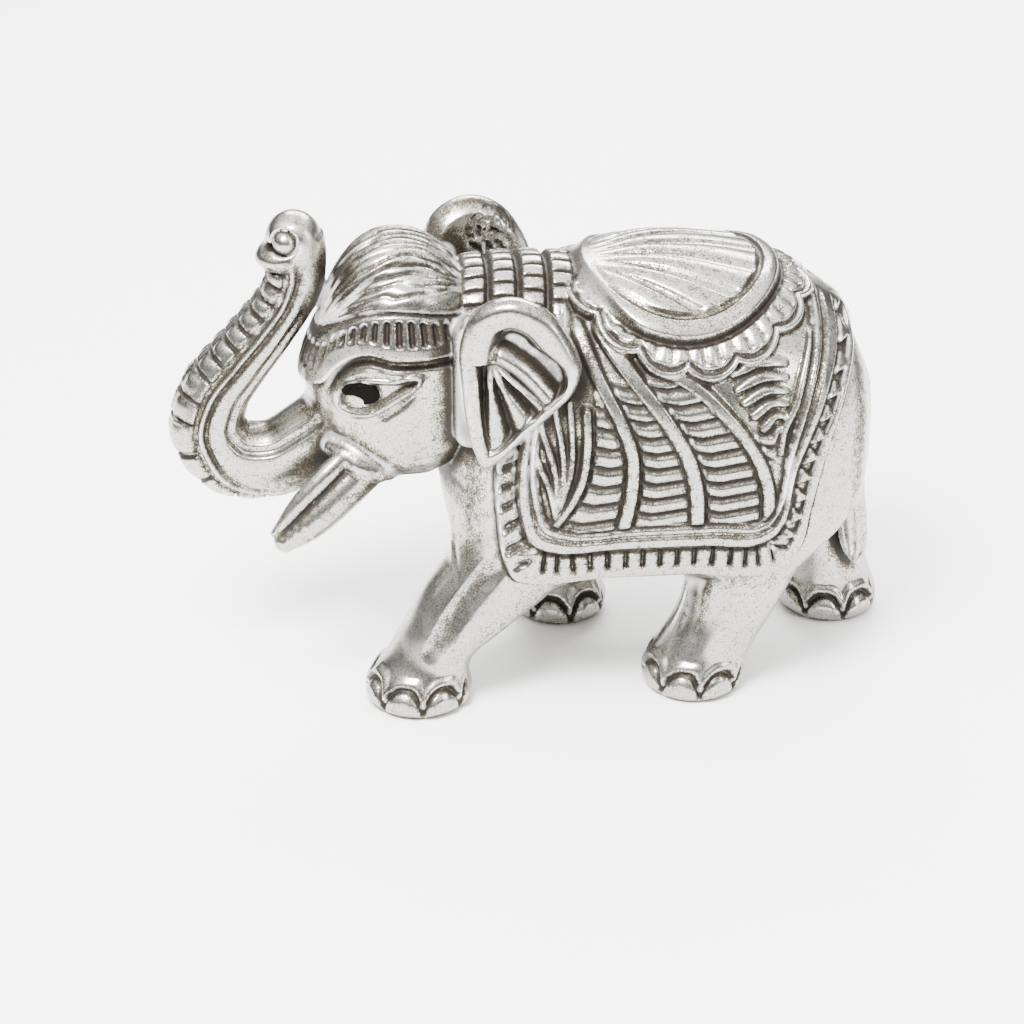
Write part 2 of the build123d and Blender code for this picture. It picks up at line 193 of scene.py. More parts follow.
class Sheet:
    """Values worked out once on a flat grid and read back by interpolation."""

    def __init__(self, make, low, high, step=0.12):
        self.low, self.step = low, step
        self.shape = [int((b - a) / step) + 2 for a, b in zip(low, high)]
        u, v = np.meshgrid(*[a + step * np.arange(n) for a, n in zip(low, self.shape)], indexing="ij")
        self.values = [np.asarray(value, np.float32) for value in make(u, v)]

    def __call__(self, u, v):
        i = np.clip((u - self.low[0]) / self.step, 0, self.shape[0] - 1.001)
        j = np.clip((v - self.low[1]) / self.step, 0, self.shape[1] - 1.001)
        a, b = i.astype(np.int32), j.astype(np.int32)
        s, t = i - a, j - b
        return [(w[a, b] * (1 - s) + w[a + 1, b] * s) * (1 - t)
                + (w[a, b + 1] * (1 - s) + w[a + 1, b + 1] * s) * t for w in self.values]


def tube(stations, p, per_span=3):
    """Distance to a tapering tube through stations (x, y, z, radius)."""
    line = smooth_line(stations, per_span)
    best = np.full(len(p), FAR)
    for a, b in zip(line[:-1], line[1:]):
        way = b[:3] - a[:3]
        length = np.linalg.norm(way)
        t = np.clip((p - a[:3]) @ way / length ** 2, 0, 1)
        d = np.linalg.norm(p - a[:3] - t[:, None] * way, axis=1) - (a[3] + t * (b[3] - a[3]))
        best = np.minimum(best, d)
    return best


def ellipsoid(p, centre, size):
    """Distance to an ellipsoid, good near its surface."""
    q = (p - centre) / size
    near_one = np.linalg.norm(q, axis=1)
    return near_one * (near_one - 1) / np.maximum(np.linalg.norm(q / size, axis=1), TINY)


def speckle(p, size, seed):
    """Smooth random values in -1..1, the same on every run."""
    q = p / size
    cell = np.floor(q).astype(np.int64)
    f = q - cell
    f = f * f * (3 - 2 * f)
    total = np.zeros(len(p))
    for corner in CORNERS:
        h = np.bitwise_xor.reduce((cell + corner) * HASH_PRIMES, axis=1) ^ seed
        h = (h * HASH_MIX) & HASH_TOP
        total += np.prod(np.where(corner, f, 1 - f), axis=1) * (h / (HASH_TOP // 2) - 1)
    return total


# ---------------- barrel of the body
BODY = Table([
    (-12.6, 1, 39.6, 38, 36.2), (-12, 6, 44, 38, 32), (-10.4, 11.5, 49.5, 38.8, 27.8),
    (-6, 17, 55.8, 41, 24.2), (0, 20.4, 62.2, 43.6, 22.6), (8, 21.8, 68, 45.5, 21.8),
    (17, 22.2, 69.8, 46.5, 21.6), (30, 22.3, 69.8, 46.5, 21.6), (41, 21.6, 68.4, 46, 22),
    (48.6, 19.4, 64.8, 45.5, 23.6), (54.6, 15.4, 59.6, 44.5, 27.4), (58.2, 10.2, 53.6, 43.6, 32.4),
    (59.8, 4, 47.6, 43.4, 39), (60.2, 1, 44.6, 43.4, 42.2),
])
BACK_POWER, BELLY_POWER = 2.3, 6.0
CLOTH_THICK, RUFF_THICK, PAD_THICK = 1.75, 0.7, 1.9

CLOTH_EDGE = [
    (0.8, 24.4), (14, 24.4), (28, 24.4), (41, 24.4), (43.9, 25.6), (45.4, 28.6), (46.8, 35.3), (49.7, 47.3),
    (53.3, 56.4), (56, 62), (57.2, 70), (57.2, 84), (30, 86), (6, 84), (6, 72), (4.6, 66),
    (0.6, 59), (-3.4, 51), (-4.8, 43), (-4.4, 34), (-3.6, 28), (-2, 25.2),
]
FRAME_OUTSIDE = [
    (3.2, 30.3), (15, 30.3), (28, 30.3), (39, 30.3), (41.3, 31.8), (44.2, 43.2), (49.3, 55.4), (52, 62),
    (52.4, 84), (30, 86), (8, 84), (4.6, 64), (0, 54), (-1.5, 44), (-1, 36.1), (0.6, 31.6),
]
FRAME_INSIDE = [
    (5.4, 34.5), (18, 34.5), (31, 34.5), (39, 34.6), (40.4, 36.4), (42.3, 46.5), (44.6, 55.2), (46.8, 62),
    (47.4, 84), (30, 86), (12, 84), (7, 64), (2.6, 54), (1.5, 45.6), (2.2, 39.4), (3.4, 35.6),
]
RIBS = [                            # half width, pitch of the rungs behind it, and its line
    (0.8, 3.3, [(9.6, 55), (9.6, 49), (8.6, 42.6), (6.4, 38), (4.6, 35.4)]),
    (1.15, 2.7, [(9, 66), (11.6, 60), (14.6, 54), (16.8, 47.6), (16.8, 41), (15.6, 34.2)]),
    (1.3, 2.7, [(12.6, 66), (16.8, 60.4), (22.4, 53), (25.9, 46.4), (27.4, 40), (27.6, 34.2)]),
    (1.15, 2.6, [(20, 62), (26.4, 58.8), (32, 53.4), (36.6, 47), (39, 40.6), (39.4, 34.4)]),
]
RUNG_TILT, RUNG_STAGGER, RUNG_RISE = 0.14, 0.35, 0.85
RUNG_TOPS = (60.5, 60.5, 60.5, 51.5)
FIELD_REAR = [(34, 46.5, 55.2, 62), (40, 42.3, 44.6, 46.8)]    # heights, and x of the field's rear there
FIELD_FLOOR = -0.85                 # height of the ground between the ribs
LEAF_STROKE = (17, 0.5, 0.8, 0.5)     # length, swell, share of a half wave, softness
FROND_STROKE = (9, 0.65, 0.85, 0.45)
LEAF_ROOT = (4.6, 35.2)
LEAVES = [(-0.4, 50), (2, 53.4), (4.6, 55.6), (7, 56.4)]
FRONDS = [(33, 59.8), (33.6, 57.6), (34.8, 55.5), (36.4, 53.4), (38, 51.2), (39.4, 49)]
SWIRL = [(46.6, 63), (44.6, 58), (43.2, 54), (41.4, 50.6), (40.8, 46.6)]
TOOTH_PITCH, TOOTH_DEPTH = 2.8, 0.8


def tooth_band(edge, outside, run, x, z):
    """Teeth between the hem and the frame: notches below, slanted cuts in front, wedges behind."""
    band = np.clip(-edge / np.maximum(outside - edge, 0.01), 0, 1)
    front = ramp(-x, -1.5, 2) * ramp(z, 26, 30)
    rear = ramp(x, 41, 44) * ramp(z, 26, 30)
    phase = (run / TOOTH_PITCH) % 1 - 0.5
    notch = ramp(-np.abs(phase), -0.16, -0.07) * ramp(band, 0.36, 0.46) * (1 - front) * (1 - rear)
    slant = ((run + 2.2 * (band - 0.5)) / (TOOTH_PITCH * 1.3)) % 1
    cut = ramp(-np.abs(slant - 0.5), -0.26, -0.08) * ramp(band, 0.1, 0.25) * front
    wedge = (run / (TOOTH_PITCH * 1.25)) % 1
    tooth = ramp(np.abs(wedge - 0.5) * 2 - (1 - band) * 1.15 - 0.1, -0.15, 0.15)
    gap = (1 - tooth) * ramp(band, 0.4, 0.5) * rear
    hem = ramp(-edge, 0.2, 0.7) * (1 - ramp(band, 0.22, 0.36))
    return (0.12 * hem - TOOTH_DEPTH * (notch + gap) - 0.75 * cut) * (edge < 0) * (outside > 0)


def rungs(x, z, sides):
    """Rungs between the ribs, above the floor of the field."""
    height = np.zeros(x.shape)
    for i, (half, pitch, _) in enumerate(RIBS):
        last = i == len(RIBS) - 1
        left, right = x - sides[i], sides[i + 1] - x
        gap = 0.5 if last else 1.3
        between = ramp(left, half + 0.3, half + 0.6) * ramp(right, gap, gap + 0.4)
        level = z - RUNG_TILT * left - 0.9 * (1 - ramp(left, 1.2, 4.4)) + RUNG_STAGGER * i
        swing = np.abs((level / pitch) % 1 - 0.5) * 2
        rung = 1 - (1 - np.clip(swing / 0.85, 0, 1)) ** 2.2
        taper = ramp(right, 0.3, 4.5) if last else 1
        height += RUNG_RISE * rung * between * taper * ramp(RUNG_TOPS[i] - z, 0, 2)
    return height


def blade(root, bend, tip, look, x, z):
    """A leaf-shaped stroke, 1 on its middle."""
    length, swell, share, soft = look
    d, along, _ = line_distance(smooth_line([root, bend, tip], 5), x, z)
    width = 0.2 + swell * np.sin(np.clip(along / length, 0, 1) * math.pi * share)
    return ramp(width - d, -0.3, soft)


def cloth_pattern(x, z):
    """Height of the relief on the cloth's side, and the distance to the cloth's edge."""
    edge, run = outline_distance(CLOTH_EDGE, x, z)
    outside, _ = outline_distance(FRAME_OUTSIDE, x, z)
    within, _ = outline_distance(FRAME_INSIDE, x, z)
    height = tooth_band(edge, outside, run, x, z)
    # double frame, with a groove along each side
    share = np.clip(-outside / np.maximum(within - outside, 0.01), 0, 1)
    height += (outside < 0) * (within > 0) * (0.5 * ramp(np.abs(share - 0.6), 0.03, 0.15) - 0.22)
    height -= 0.65 * bump(outside + 0.1, 0.55) + 0.45 * bump(within - 0.05, 0.45)
    # field inside the frame: rungs, leaves at the lower front, fronds and a swirl at the upper rear, ribs
    sides = []
    for _, _, line in RIBS:
        across, up = np.array(line)[::-1].T
        sides.append(hermite(up, across, np.clip(z, 34.2, 66)))
    sides.append(np.interp(z, *FIELD_REAR))
    raised = [rungs(x, z, sides)]
    for tip in LEAVES:
        bend = ((LEAF_ROOT[0] + tip[0]) / 2 + 1.3, (LEAF_ROOT[1] + tip[1]) / 2)
        raised.append(0.95 * blade(LEAF_ROOT, bend, tip, LEAF_STROKE, x, z) * (x < sides[0] + 0.5))
    for i, tip in enumerate(FRONDS):
        root = (42, 60.5 - 2.0 * i)
        bend = ((root[0] + tip[0]) / 2, (root[1] + 1.1 + tip[1]) / 2 + 0.6)
        raised.append(0.95 * blade(root, bend, tip, FROND_STROKE, x, z))
    raised.append(ramp(0.75 - curve_distance(SWIRL, x, z), -0.35, 0.5))
    for half, _, line in RIBS:
        raised.append(1.2 * ramp(half - curve_distance(line, x, z), -0.35, 0.5))
    field = ramp(-within, 0.15, 0.5)
    return height * (1 - field) + (FIELD_FLOOR + np.max(raised, axis=0)) * field, edge


PAD = (26.2, 17.4, 18.8)            # centre x, half length, half width measured round the back
RUFF = (27.8, 20.8, 24)
SCALLOPS = 15
PAD_FAN = 5.0                       # x that the pad's flutes spread from
FLUTE_PITCH = 0.185


def back_pattern(x, arc):
    """Relief of the pad and ruff, seen unrolled: x, and arc round the back from the spine."""
    pad = np.hypot((x - PAD[0]) / PAD[1], arc / PAD[2])
    pad_edge = (pad - 1) * 18.0
    turn = np.arctan2(arc / RUFF[2], (x - RUFF[0]) / RUFF[1])
    ruff = np.hypot((x - RUFF[0]) / RUFF[1], arc / RUFF[2])
    lobe = np.abs(np.sin(turn * SCALLOPS / 2))
    ruff_edge = (ruff - 1) * 23.5 - 1.8 * (lobe ** 0.7 - 0.6)
    # ruff: strokes, then a double line that follows the scallops
    middle = np.clip(pad_edge / np.maximum(pad_edge - ruff_edge, 0.1), 0, 1)
    strokes = (0.5 - 0.5 * np.cos(turn * 45)) ** 0.6
    ruff_height = -0.42 * (1 - strokes) * ramp(middle, 0.06, 0.2) * ramp(-ruff_edge, 1.9, 2.4)
    ruff_height += 0.35 * np.sin(np.clip(middle, 0, 1) * math.pi)
    ruff_height -= 0.7 * bump(ruff_edge + 1.4, 0.6)
    ruff_height -= 0.55 * bump(pad_edge - 0.35, 0.6) * ramp(x, 10, 19)
    # pad: raised rim, groove, flutes
    inward = -pad_edge
    rim = ramp(x, 10, 19)
    pad_height = (0.25 * bump(inward - 1.5, 1.6) - 0.65 * bump(inward - 3.35, 0.75)) * rim
    spread = np.arctan2(arc, x - PAD_FAN)
    flute = 0.5 + 0.5 * np.cos(spread * 2 * math.pi / FLUTE_PITCH)
    groove = ramp(flute, 0.6, 1)
    pad_height -= (0.25 * flute + 0.4 * groove) * ramp(inward, 3.6, 4.4) * ramp(x, 12, 22)
    pad_height += 0.9 * ramp(inward, 3.4, 15)
    return pad_edge, ruff_edge, pad_height, ruff_height


cloth_sheet = Sheet(cloth_pattern, (-8, 20), (60, 80))
back_sheet = Sheet(back_pattern, (0, 0), (56, 36))


def barrel(p):
    """Bare body: its field, and what lies on it as a raise, with a weight for each covering."""
    x, y, z = p.T
    half, top, middle, low = BODY(x)
    half_slope, top_slope, middle_slope, low_slope = BODY.slope(x)
    up = z >= middle
    tall = np.where(up, top - middle, middle - low)
    power = np.where(up, BACK_POWER, BELLY_POWER)
    side = np.abs(y)
    rise = z - middle
    e = np.maximum((side / half) ** power + (np.abs(rise) / tall) ** power, TINY) ** (1 / power)
    r = np.hypot(side, rise)
    r_safe = np.maximum(r, SMALL)
    tall_slope = np.where(up, top_slope - middle_slope, middle_slope - low_slope)
    lean = (side ** 2 / r_safe ** 2) * half_slope + (rise ** 2 / r_safe ** 2) * tall_slope \
        + np.abs(rise) / r_safe * np.sign(rise) * middle_slope
    lean = np.clip(lean, -3, 3)
    d = (r - r_safe / e) / np.sqrt(1 + lean ** 2)
    d = np.maximum(d, np.maximum(-12.6 - x, x - 60.2))
    arc = np.arctan2(side, np.maximum(z - 45, -60)) * 24.6
    height, edge = cloth_sheet(x, z)
    pad_edge, ruff_edge, pad_height, ruff_height = back_sheet(x, np.clip(arc, 0, 35.9))
    on_cloth = ramp(-edge, -0.15, 0.3)
    upper = z > middle
    on_ruff = ramp(-ruff_edge, -0.15, 0.3) * upper
    on_pad = ramp(-pad_edge, -0.25, 0.5 + 3.5 * (1 - ramp(x, 10, 19))) * upper
    over = ramp(edge, -1.2, 0)
    raise_by = CLOTH_THICK * on_cloth
    from_spine = ramp(side, 1.5, 7)
    relief = (height * from_spine + 0.4 * (1 - from_spine)) * on_cloth * (1 - on_ruff)
    raise_by = raise_by + RUFF_THICK * on_ruff + PAD_THICK * on_pad - RUFF_THICK * on_pad * on_ruff
    relief = relief + on_ruff * (1 - on_pad) * ruff_height + on_pad * pad_height
    relief = relief - 0.3 * bump(edge - 0.1, 0.35) * (1 - on_cloth) * (over > 0)
    return d, raise_by + relief, on_cloth, on_ruff, on_pad


# ---------------- neck and collars
NECK = Table([(-16, 10, 55.6, 13.6), (-9, 12, 55.4, 15.9), (-1, 14.2, 54.6, 17.2), (6, 15, 52.8, 18.8),
              (13, 15.4, 50.6, 20)])
COLLAR_X, COLLAR_PITCH, COLLAR_THICK = -8.8, 4.8, 1.35
COLLAR_LEAN = math.tan(math.radians(8))
COLLAR_PIVOT = 74.0
BLOCK_ANGLE = 0.152


def neck(p):
    """Neck with four rows of blocks: field, and which collar, from 0; the last two rows are one collar."""
    x, y, z = p.T
    half, middle, tall = NECK(np.clip(x, -16, 13))
    side, rise = np.abs(y), z - middle
    e = np.maximum(np.hypot(side / half, rise / tall), SMALL)
    r = np.hypot(side, rise)
    d = r - r / e
    place = (x + COLLAR_LEAN * (COLLAR_PIVOT - z) - COLLAR_X) / COLLAR_PITCH
    which = np.floor(place)
    across = np.abs(place - which - 0.5) * 2
    on = (which >= 0) & (which < 4)
    round_angle = np.arctan2(y, rise)
    block = np.abs((round_angle / BLOCK_ANGLE + 0.5 * (which % 2)) % 1 - 0.5) * 2
    ring = ramp(1 - across, -0.05, 0.4) * on
    pillow = 0.35 * (1 - across ** 2) * (1 - block ** 4)
    relief = ring * (COLLAR_THICK - 0.3 + pillow) - 0.42 * ring * ramp(block, 0.7, 0.96)
    d = meet(d - relief, np.maximum(-15.5 - x, x - 10.6), 1.6)
    return d, np.where(on, np.minimum(which, 2), -1)


# ---------------- head
HEAD = Table([
    (37.5, -19, -16, 1.2), (38.4, -24, -13.4, 7.6), (39.9, -27, -11.2, 10.6), (43.8, -31, -7.6, 13.2),
    (47, -32.4, -5.2, 13.9), (50, -33.4, -4, 14.2), (56, -33.6, -3.2, 14.4), (62, -32, -3.8, 14.2),
    (67.4, -29.6, -6.6, 12.8),
    (71.4, -27.4, -9.2, 10.3), (74, -25.8, -11.8, 8), (75.6, -24, -14.4, 5.4), (76.5, -22, -16.8, 2.9),
    (76.8, -20.2, -18.2, 1),
])
BAND_LOW = [(-40, 52.5), (-34, 55.2), (-32, 56.2), (-29.4, 59.8), (-27, 62), (-24.6, 63), (-19.9, 62.5),
            (-15, 62.4), (-10.4, 62.6), (0, 62.8)]
BAND_HIGH = [(-40, 59), (-33.6, 61.2), (-31.5, 62.8), (-29.4, 65), (-26.7, 67), (-24, 68.3), (-21, 68.9),
             (-17.2, 68.8), (-13.3, 68), (-8, 66.6), (0, 66)]
EYE = (-25.6, 55.6)
EYE_HALF = (3.05, 2.05)
EYE_OPENING = [(-29, 52.9), (-28.4, 55.2), (-26.4, 57), (-23.4, 57.5), (-20, 57.6), (-16.8, 58.1),
               (-19.2, 56.2), (-21.7, 54.4), (-24, 52.9), (-26.4, 52.1), (-28, 52.1)]
UPPER_LID = [(-28.9, 56.8), (-28, 57.8), (-26.4, 58.6), (-23, 59.2), (-18.6, 58.9), (-15.6, 58.6)]
WRINKLES = [[(-23.4, 52.6), (-20.4, 54.6), (-17.6, 57)], [(-22, 51.4), (-19.4, 53.4), (-17, 55.6)]]


def head_pattern(x, z):
    """Relief on the side of the head, how far above the band's edges a point is, and the pupil's field."""
    height = np.zeros(x.shape)
    low, high = (hermite(*np.array(line).T, x) for line in (BAND_LOW, BAND_HIGH))
    at = np.linspace(-40, 0, 400)
    slope = np.gradient(hermite(*np.array(BAND_LOW).T, at), at[1] - at[0])
    steep = np.sqrt(1 + np.interp(x, at, slope) ** 2)
    above_low, above_high = (z - low) / steep, (z - high) / steep
    # dark groove under the band, then the brow
    height -= 0.75 * bump(above_low + 1.75, 0.85) * ramp(x, -31.5, -28.5)
    height += 0.25 * bump(above_low + 3, 0.8) * ramp(x, -30, -27) * (1 - ramp(x, -19, -14))
    # eye
    opening, _ = outline_distance(EYE_OPENING, x, z)
    height -= 0.75 * ramp(-opening, -0.25, 0.55)
    lower_front = ramp(56.5 - z, 0, 2) * (1 - ramp(x, -28.5, -24))
    height += (0.55 - 0.45 * lower_front) * bump(opening - 0.6, 0.65)
    height -= 0.25 * bump(opening - 2, 1.5) * ramp(56.0 - z, -1, 1.5) * ramp(x, -29, -24)
    height += 0.3 * bump(curve_distance(UPPER_LID, x, z, 4), 0.7)
    pupil = (np.hypot((x - EYE[0]) / EYE_HALF[0], (z - EYE[1]) / EYE_HALF[1]) - 1) * 2.3
    # painted glint: a notch of bare metal left in the black enamel where the eye's highlight shows
    painted_glint = np.hypot((x - EYE[0] + 1.1) / 1.5, (z - EYE[1] + 1.7) / 0.85)
    pupil = np.maximum(pupil, (1 - painted_glint) * 1.2)
    height += 0.42 * ramp(-pupil, -0.15, 0.25)
    height += 0.25 * np.clip(1 - ((x - EYE[0]) ** 2 + (z - EYE[1]) ** 2) / 16, 0, 1) * (opening < 0)
    for line in WRINKLES:
        height -= 0.26 * bump(curve_distance(line, x, z, 4), 0.6)
    return height, above_low, above_high, pupil


head_sheet = Sheet(head_pattern, (-38, 36), (-2, 80), 0.1)
CROWN, CROWN_SIZE = np.array([-18.4, 0, 58]), np.array([13.1, 14.8, 18.6])
CAP_FRONT, CAP_REAR = np.array([-32.6, 3, 62.6]), np.array([-6.8, 3.4, 68.2])
FOREHEAD = [-30.6, 0, 52.6], [3.2, 7.5, 5.2]      # bridge between the brows: centre and size
PLEAT = math.radians(9)
FLUTE = 2.05


def head(p):
    """Skull, cap, band and eyes: field, band level, cap level and pupil."""
    x, y, z = p.T
    side = np.abs(y)
    front, back, half = HEAD(z)
    fs, bs, hs = HEAD.slope(z)
    centre, reach = (front + back) / 2, (back - front) / 2
    u, v = x - centre, side
    power = 2 + 1.5 * ramp(u / reach, 0, 0.6)
    e = np.maximum((np.abs(u) / reach) ** power + (v / half) ** power, TINY) ** (1 / power)
    r = np.maximum(np.hypot(u, v), SMALL)
    lean = (u / r) ** 2 * (bs - fs) / 2 + (v / r) ** 2 * hs + (u / r) * (fs + bs) / 2
    d = (r - r / e) / np.sqrt(1 + np.clip(lean, -9, 9) ** 2)
    d = np.maximum(d, 37.5 - z)
    share = ramp(z, 58, 66)
    d = d * (1 - share) + ellipsoid(p, CROWN, CROWN_SIZE) * share
    d = join(d, ellipsoid(p, *FOREHEAD), 1.5)
    # two domes with a dip between them
    dome = np.exp(-((side - 4.6) / 3.4) ** 2 - ((x + 21) / 7) ** 2 - ((z - 75) / 6) ** 2)
    d = d - 0.8 * dome
    height, above_low, above_high, pupil = head_sheet(x, z)
    lateral = ramp(side, 3, 6)
    band = ramp(above_low, -0.7, -0.25) * (1 - ramp(above_high, 0.15, 0.5))
    cap = ramp(above_high, 0.1, 0.5)
    # band: a rim at each edge and upright flutes between
    around = np.arctan2(side, -(x + 19)) * 14.6
    flute = np.abs((around / FLUTE) % 1 - 0.5) * 2
    between = ramp(above_low, 1.5, 1.9) * ramp(-above_high, 0.6, 1)
    band_height = 1.25 - between * (0.25 + 0.6 * ramp(flute, 0.4, 0.95) - 0.25 * bump(flute, 0.6))
    # cap: pleats that run from the brow to the nape like meridians
    q = np.column_stack([x, side, z]) - CAP_FRONT
    axis = (CAP_REAR - CAP_FRONT) / np.linalg.norm(CAP_REAR - CAP_FRONT)
    upward = np.array([0, 0, 1]) - axis[2] * axis
    upward /= np.linalg.norm(upward)
    across = np.cross(axis, upward)
    across *= np.sign(across[1])
    angle = np.arctan2(q @ across, q @ upward)
    forward = q @ axis
    wander = 0.05 * np.sin(0.33 * forward + 5.0 * angle) + 0.02 * np.sin(0.9 * forward + 17.0 * angle)
    pleat = np.abs(np.sin((angle + wander) * math.pi / PLEAT))
    deep = 0.75 + 0.25 * np.sin(angle * 9.7 + 0.21 * forward)
    plain = 1 - ramp(angle, math.radians(52), math.radians(64)) * ramp(x, -27, -22)
    ends = deep * ramp(np.linalg.norm(q, axis=1), 0.8, 3)
    ends = ends * ramp(np.linalg.norm(q + CAP_FRONT - CAP_REAR, axis=1), 1.5, 5)
    cap_height = 1.0 + 0.75 * (pleat ** 0.7 - 1) * ramp(side, 0.4, 1.2) * (0.1 + 0.9 * plain) * ends
    cap_height -= 0.55 * bump(side, 0.6) * ramp(z, 66, 69)
    cap_height += 0.7 * np.exp(-((x + 14.5) / 6) ** 2 - (above_high - 2.6) ** 2 / 3.5)
    relief = height * lateral * (1 - band) * (1 - cap) + band * (1 - cap) * band_height + cap * cap_height
    relief -= 0.45 * bump(above_high - 0.3, 0.4) * ramp(x, -33.5, -31)
    return d - relief, above_low, above_high, np.where(side > 5, pupil, BIG)


# ---------------- trunk
TRUNK = [
    (-24, 48.4, 7.2, 7.2), (-27.8, 45.9, 7.1, 7.2), (-33.3, 42.1, 6.8, 6.8), (-39.7, 38.9, 6.4, 6.3),
    (-46.4, 39.7, 6.3, 6.1), (-49.8, 44.5, 6, 5.8), (-48.5, 50.6, 5.6, 5.5), (-44.4, 56.2, 5, 5.2),
    (-39.9, 61.8, 4.6, 4.9), (-36, 67.5, 4.3, 4.7), (-34.4, 73.2, 4.4, 4.6), (-35.2, 77.6, 4.3, 4.5),
]
STRIP_START, STRIP_END = 10, 67.5
BEADS = 17
STRIP_WRAP = math.radians(68)


def trunk_frame(x, z):
    """Distance to the trunk's centre line, run along it, and offset from it, positive on the strip's side."""
    d, along, side = line_distance(smooth_line(np.array(TRUNK)[:, :2], 6), x, z)
    return d, along, d * side


trunk_line = smooth_line(np.array(TRUNK), 6)
trunk_run = np.concatenate([[0], np.cumsum(np.linalg.norm(np.diff(trunk_line[:, :2], axis=0), axis=1))])
trunk_sheet = Sheet(trunk_frame, (-62, 26), (-18, 84), 0.1)


def trunk(p):
    """Trunk with its bead strip and tip: field, whether on the strip."""
    x, y, z = p.T
    d_plane, run, offset = trunk_sheet(x, z)
    radius = np.interp(run, trunk_run, trunk_line[:, 2])
    half = np.interp(run, trunk_run, trunk_line[:, 3])
    side = np.abs(y)
    e = np.maximum(np.hypot(offset / radius, side / half), SMALL)
    r = np.hypot(offset, side)
    d = r - r / e
    theta = np.arctan2(side, -offset)
    share = (run - STRIP_START) / (STRIP_END - STRIP_START)
    live = ramp(share, 0, 0.02) * (1 - ramp(share, 0.985, 1))
    wrap = STRIP_WRAP * (0.5 + 0.5 * ramp(run, 17, 31))
    edge = (wrap - theta) * radius
    on = ramp(edge, -0.15, 0.25) * live
    segment = (share * BEADS) % 1
    gap = np.abs(segment - 0.5) * 2
    length = (STRIP_END - STRIP_START) / BEADS
    boss = np.hypot((segment - 0.5) * length, side - 2.9)
    cell = 0.8 - 0.7 * ramp(gap, 0.74, 0.98)
    cell = cell * ramp(edge, 0.45, 1) - 0.1
    cell += 0.38 * np.clip(1 - (boss / 1.7) ** 2, 0, 1)
    cell += 0.25 * bump(side, 0.9) * (1 - ramp(gap, 0.5, 0.9))
    cord = 0.5 * bump(edge + 0.55, 0.6) * live - 0.4 * bump(edge + 1.5, 0.5) * live
    fades = 1 - ramp(run, 54, 63)
    dorsal = ramp(theta, math.radians(128), math.radians(140)) * fades
    groove = 0.75 * bump((theta - math.radians(124)) * radius, 1.2) * fades
    relief = (on * cell + cord) * (0.35 + 0.65 * ramp(run, 17, 29)) - groove - 0.25 * dorsal
    flat = 0.28 * bump((theta - math.radians(88)) * radius, 3.4) * ramp(run, 8, 16)
    d = d - relief + flat
    # tip: hood, nostril ball and dished lower lip
    d = np.where(run > trunk_run[-1] - 0.01, np.maximum(d, d_plane - 3), d)
    d = join(d, ellipsoid(p, [-35.1, 0, 77.1], [4.6, 4.5, 5]), 2)
    d = join(d, ellipsoid(p, [-37.2, -0.9, 75], [4.2, 4.3, 2.3]), 1.2)
    d = meet(d, -ellipsoid(p, [-38.6, -1.7, 77.1], [2.5, 2.3, 0.6]), 0.5)
    d = meet(d, 2.25 - np.linalg.norm(p - [-36.7, -3.6, 78.2], axis=1), 0.5)
    d = join(d, np.linalg.norm(p - [-36.5, -3.2, 78.1], axis=1) - 2.05, 0.2)
    return d, on * live


# ---------------- tusks, ears, tail
TUSK_LOW = [(-25, -9.6, 40.6, 3.3), (-29.8, -11, 36.5, 3.3), (-34.7, -12.3, 32.4, 2.9),
            (-38.6, -13.1, 29.7, 1.9)]
TUSK_HIGH = [(-28.4, -10.6, 43.4, 1.7), (-33, -12.2, 39.6, 1.7), (-37.4, -13.2, 35, 1.3),
             (-40.2, -13.4, 31.3, 0.8)]
LIP = [(-30.4, -8.8, 44, 1.2), (-28.4, -10.4, 43.5, 1.7), (-25.8, -11.7, 42, 1.9), (-23.2, -11.7, 40.7, 1.6),
       (-21.4, -10.6, 40, 0.9)]


def tusk(p):
    """Tusk: a broad lower body and a narrow ridge above, with a groove between."""
    return join(tube(TUSK_LOW, p), tube(TUSK_HIGH, p), 0.25)


EAR_CENTRE = np.array([-1, -22.2, 60])
EAR_TURN = math.radians(12)
EAR_EDGE = [
    (-9.4, -1), (-9.6, 6.6), (-7.4, 12), (-1.6, 14.6), (3.8, 12.8), (8, 7.4), (9.5, 3), (8.6, -0.6),
    (4.6, -5.4), (0.4, -9.8), (-3, -13.4), (-5.6, -15.2), (-7.8, -11.6), (-8.9, -6.4),
]
EAR_FAN = (-5.2, 3.6)
EAR_MAIN_FLUTE = [(-6.2, 4.4), (-4, 4.7), (-1.2, 3.3), (2.2, 0.2), (4.8, -3)]
EAR_FLUTES = 2.6
EAR_THICK = 4.5
PIT_SIZE, PIT_SEED = 0.75, 7
EAR_ROOT = (-8, -12.9, 57)       # middle of the web that ties the ear to the head
RIGHT_EAR_MOVE = np.array([3.2, 0, -0.8])     # from the right ear's place to the left one's, mirrored


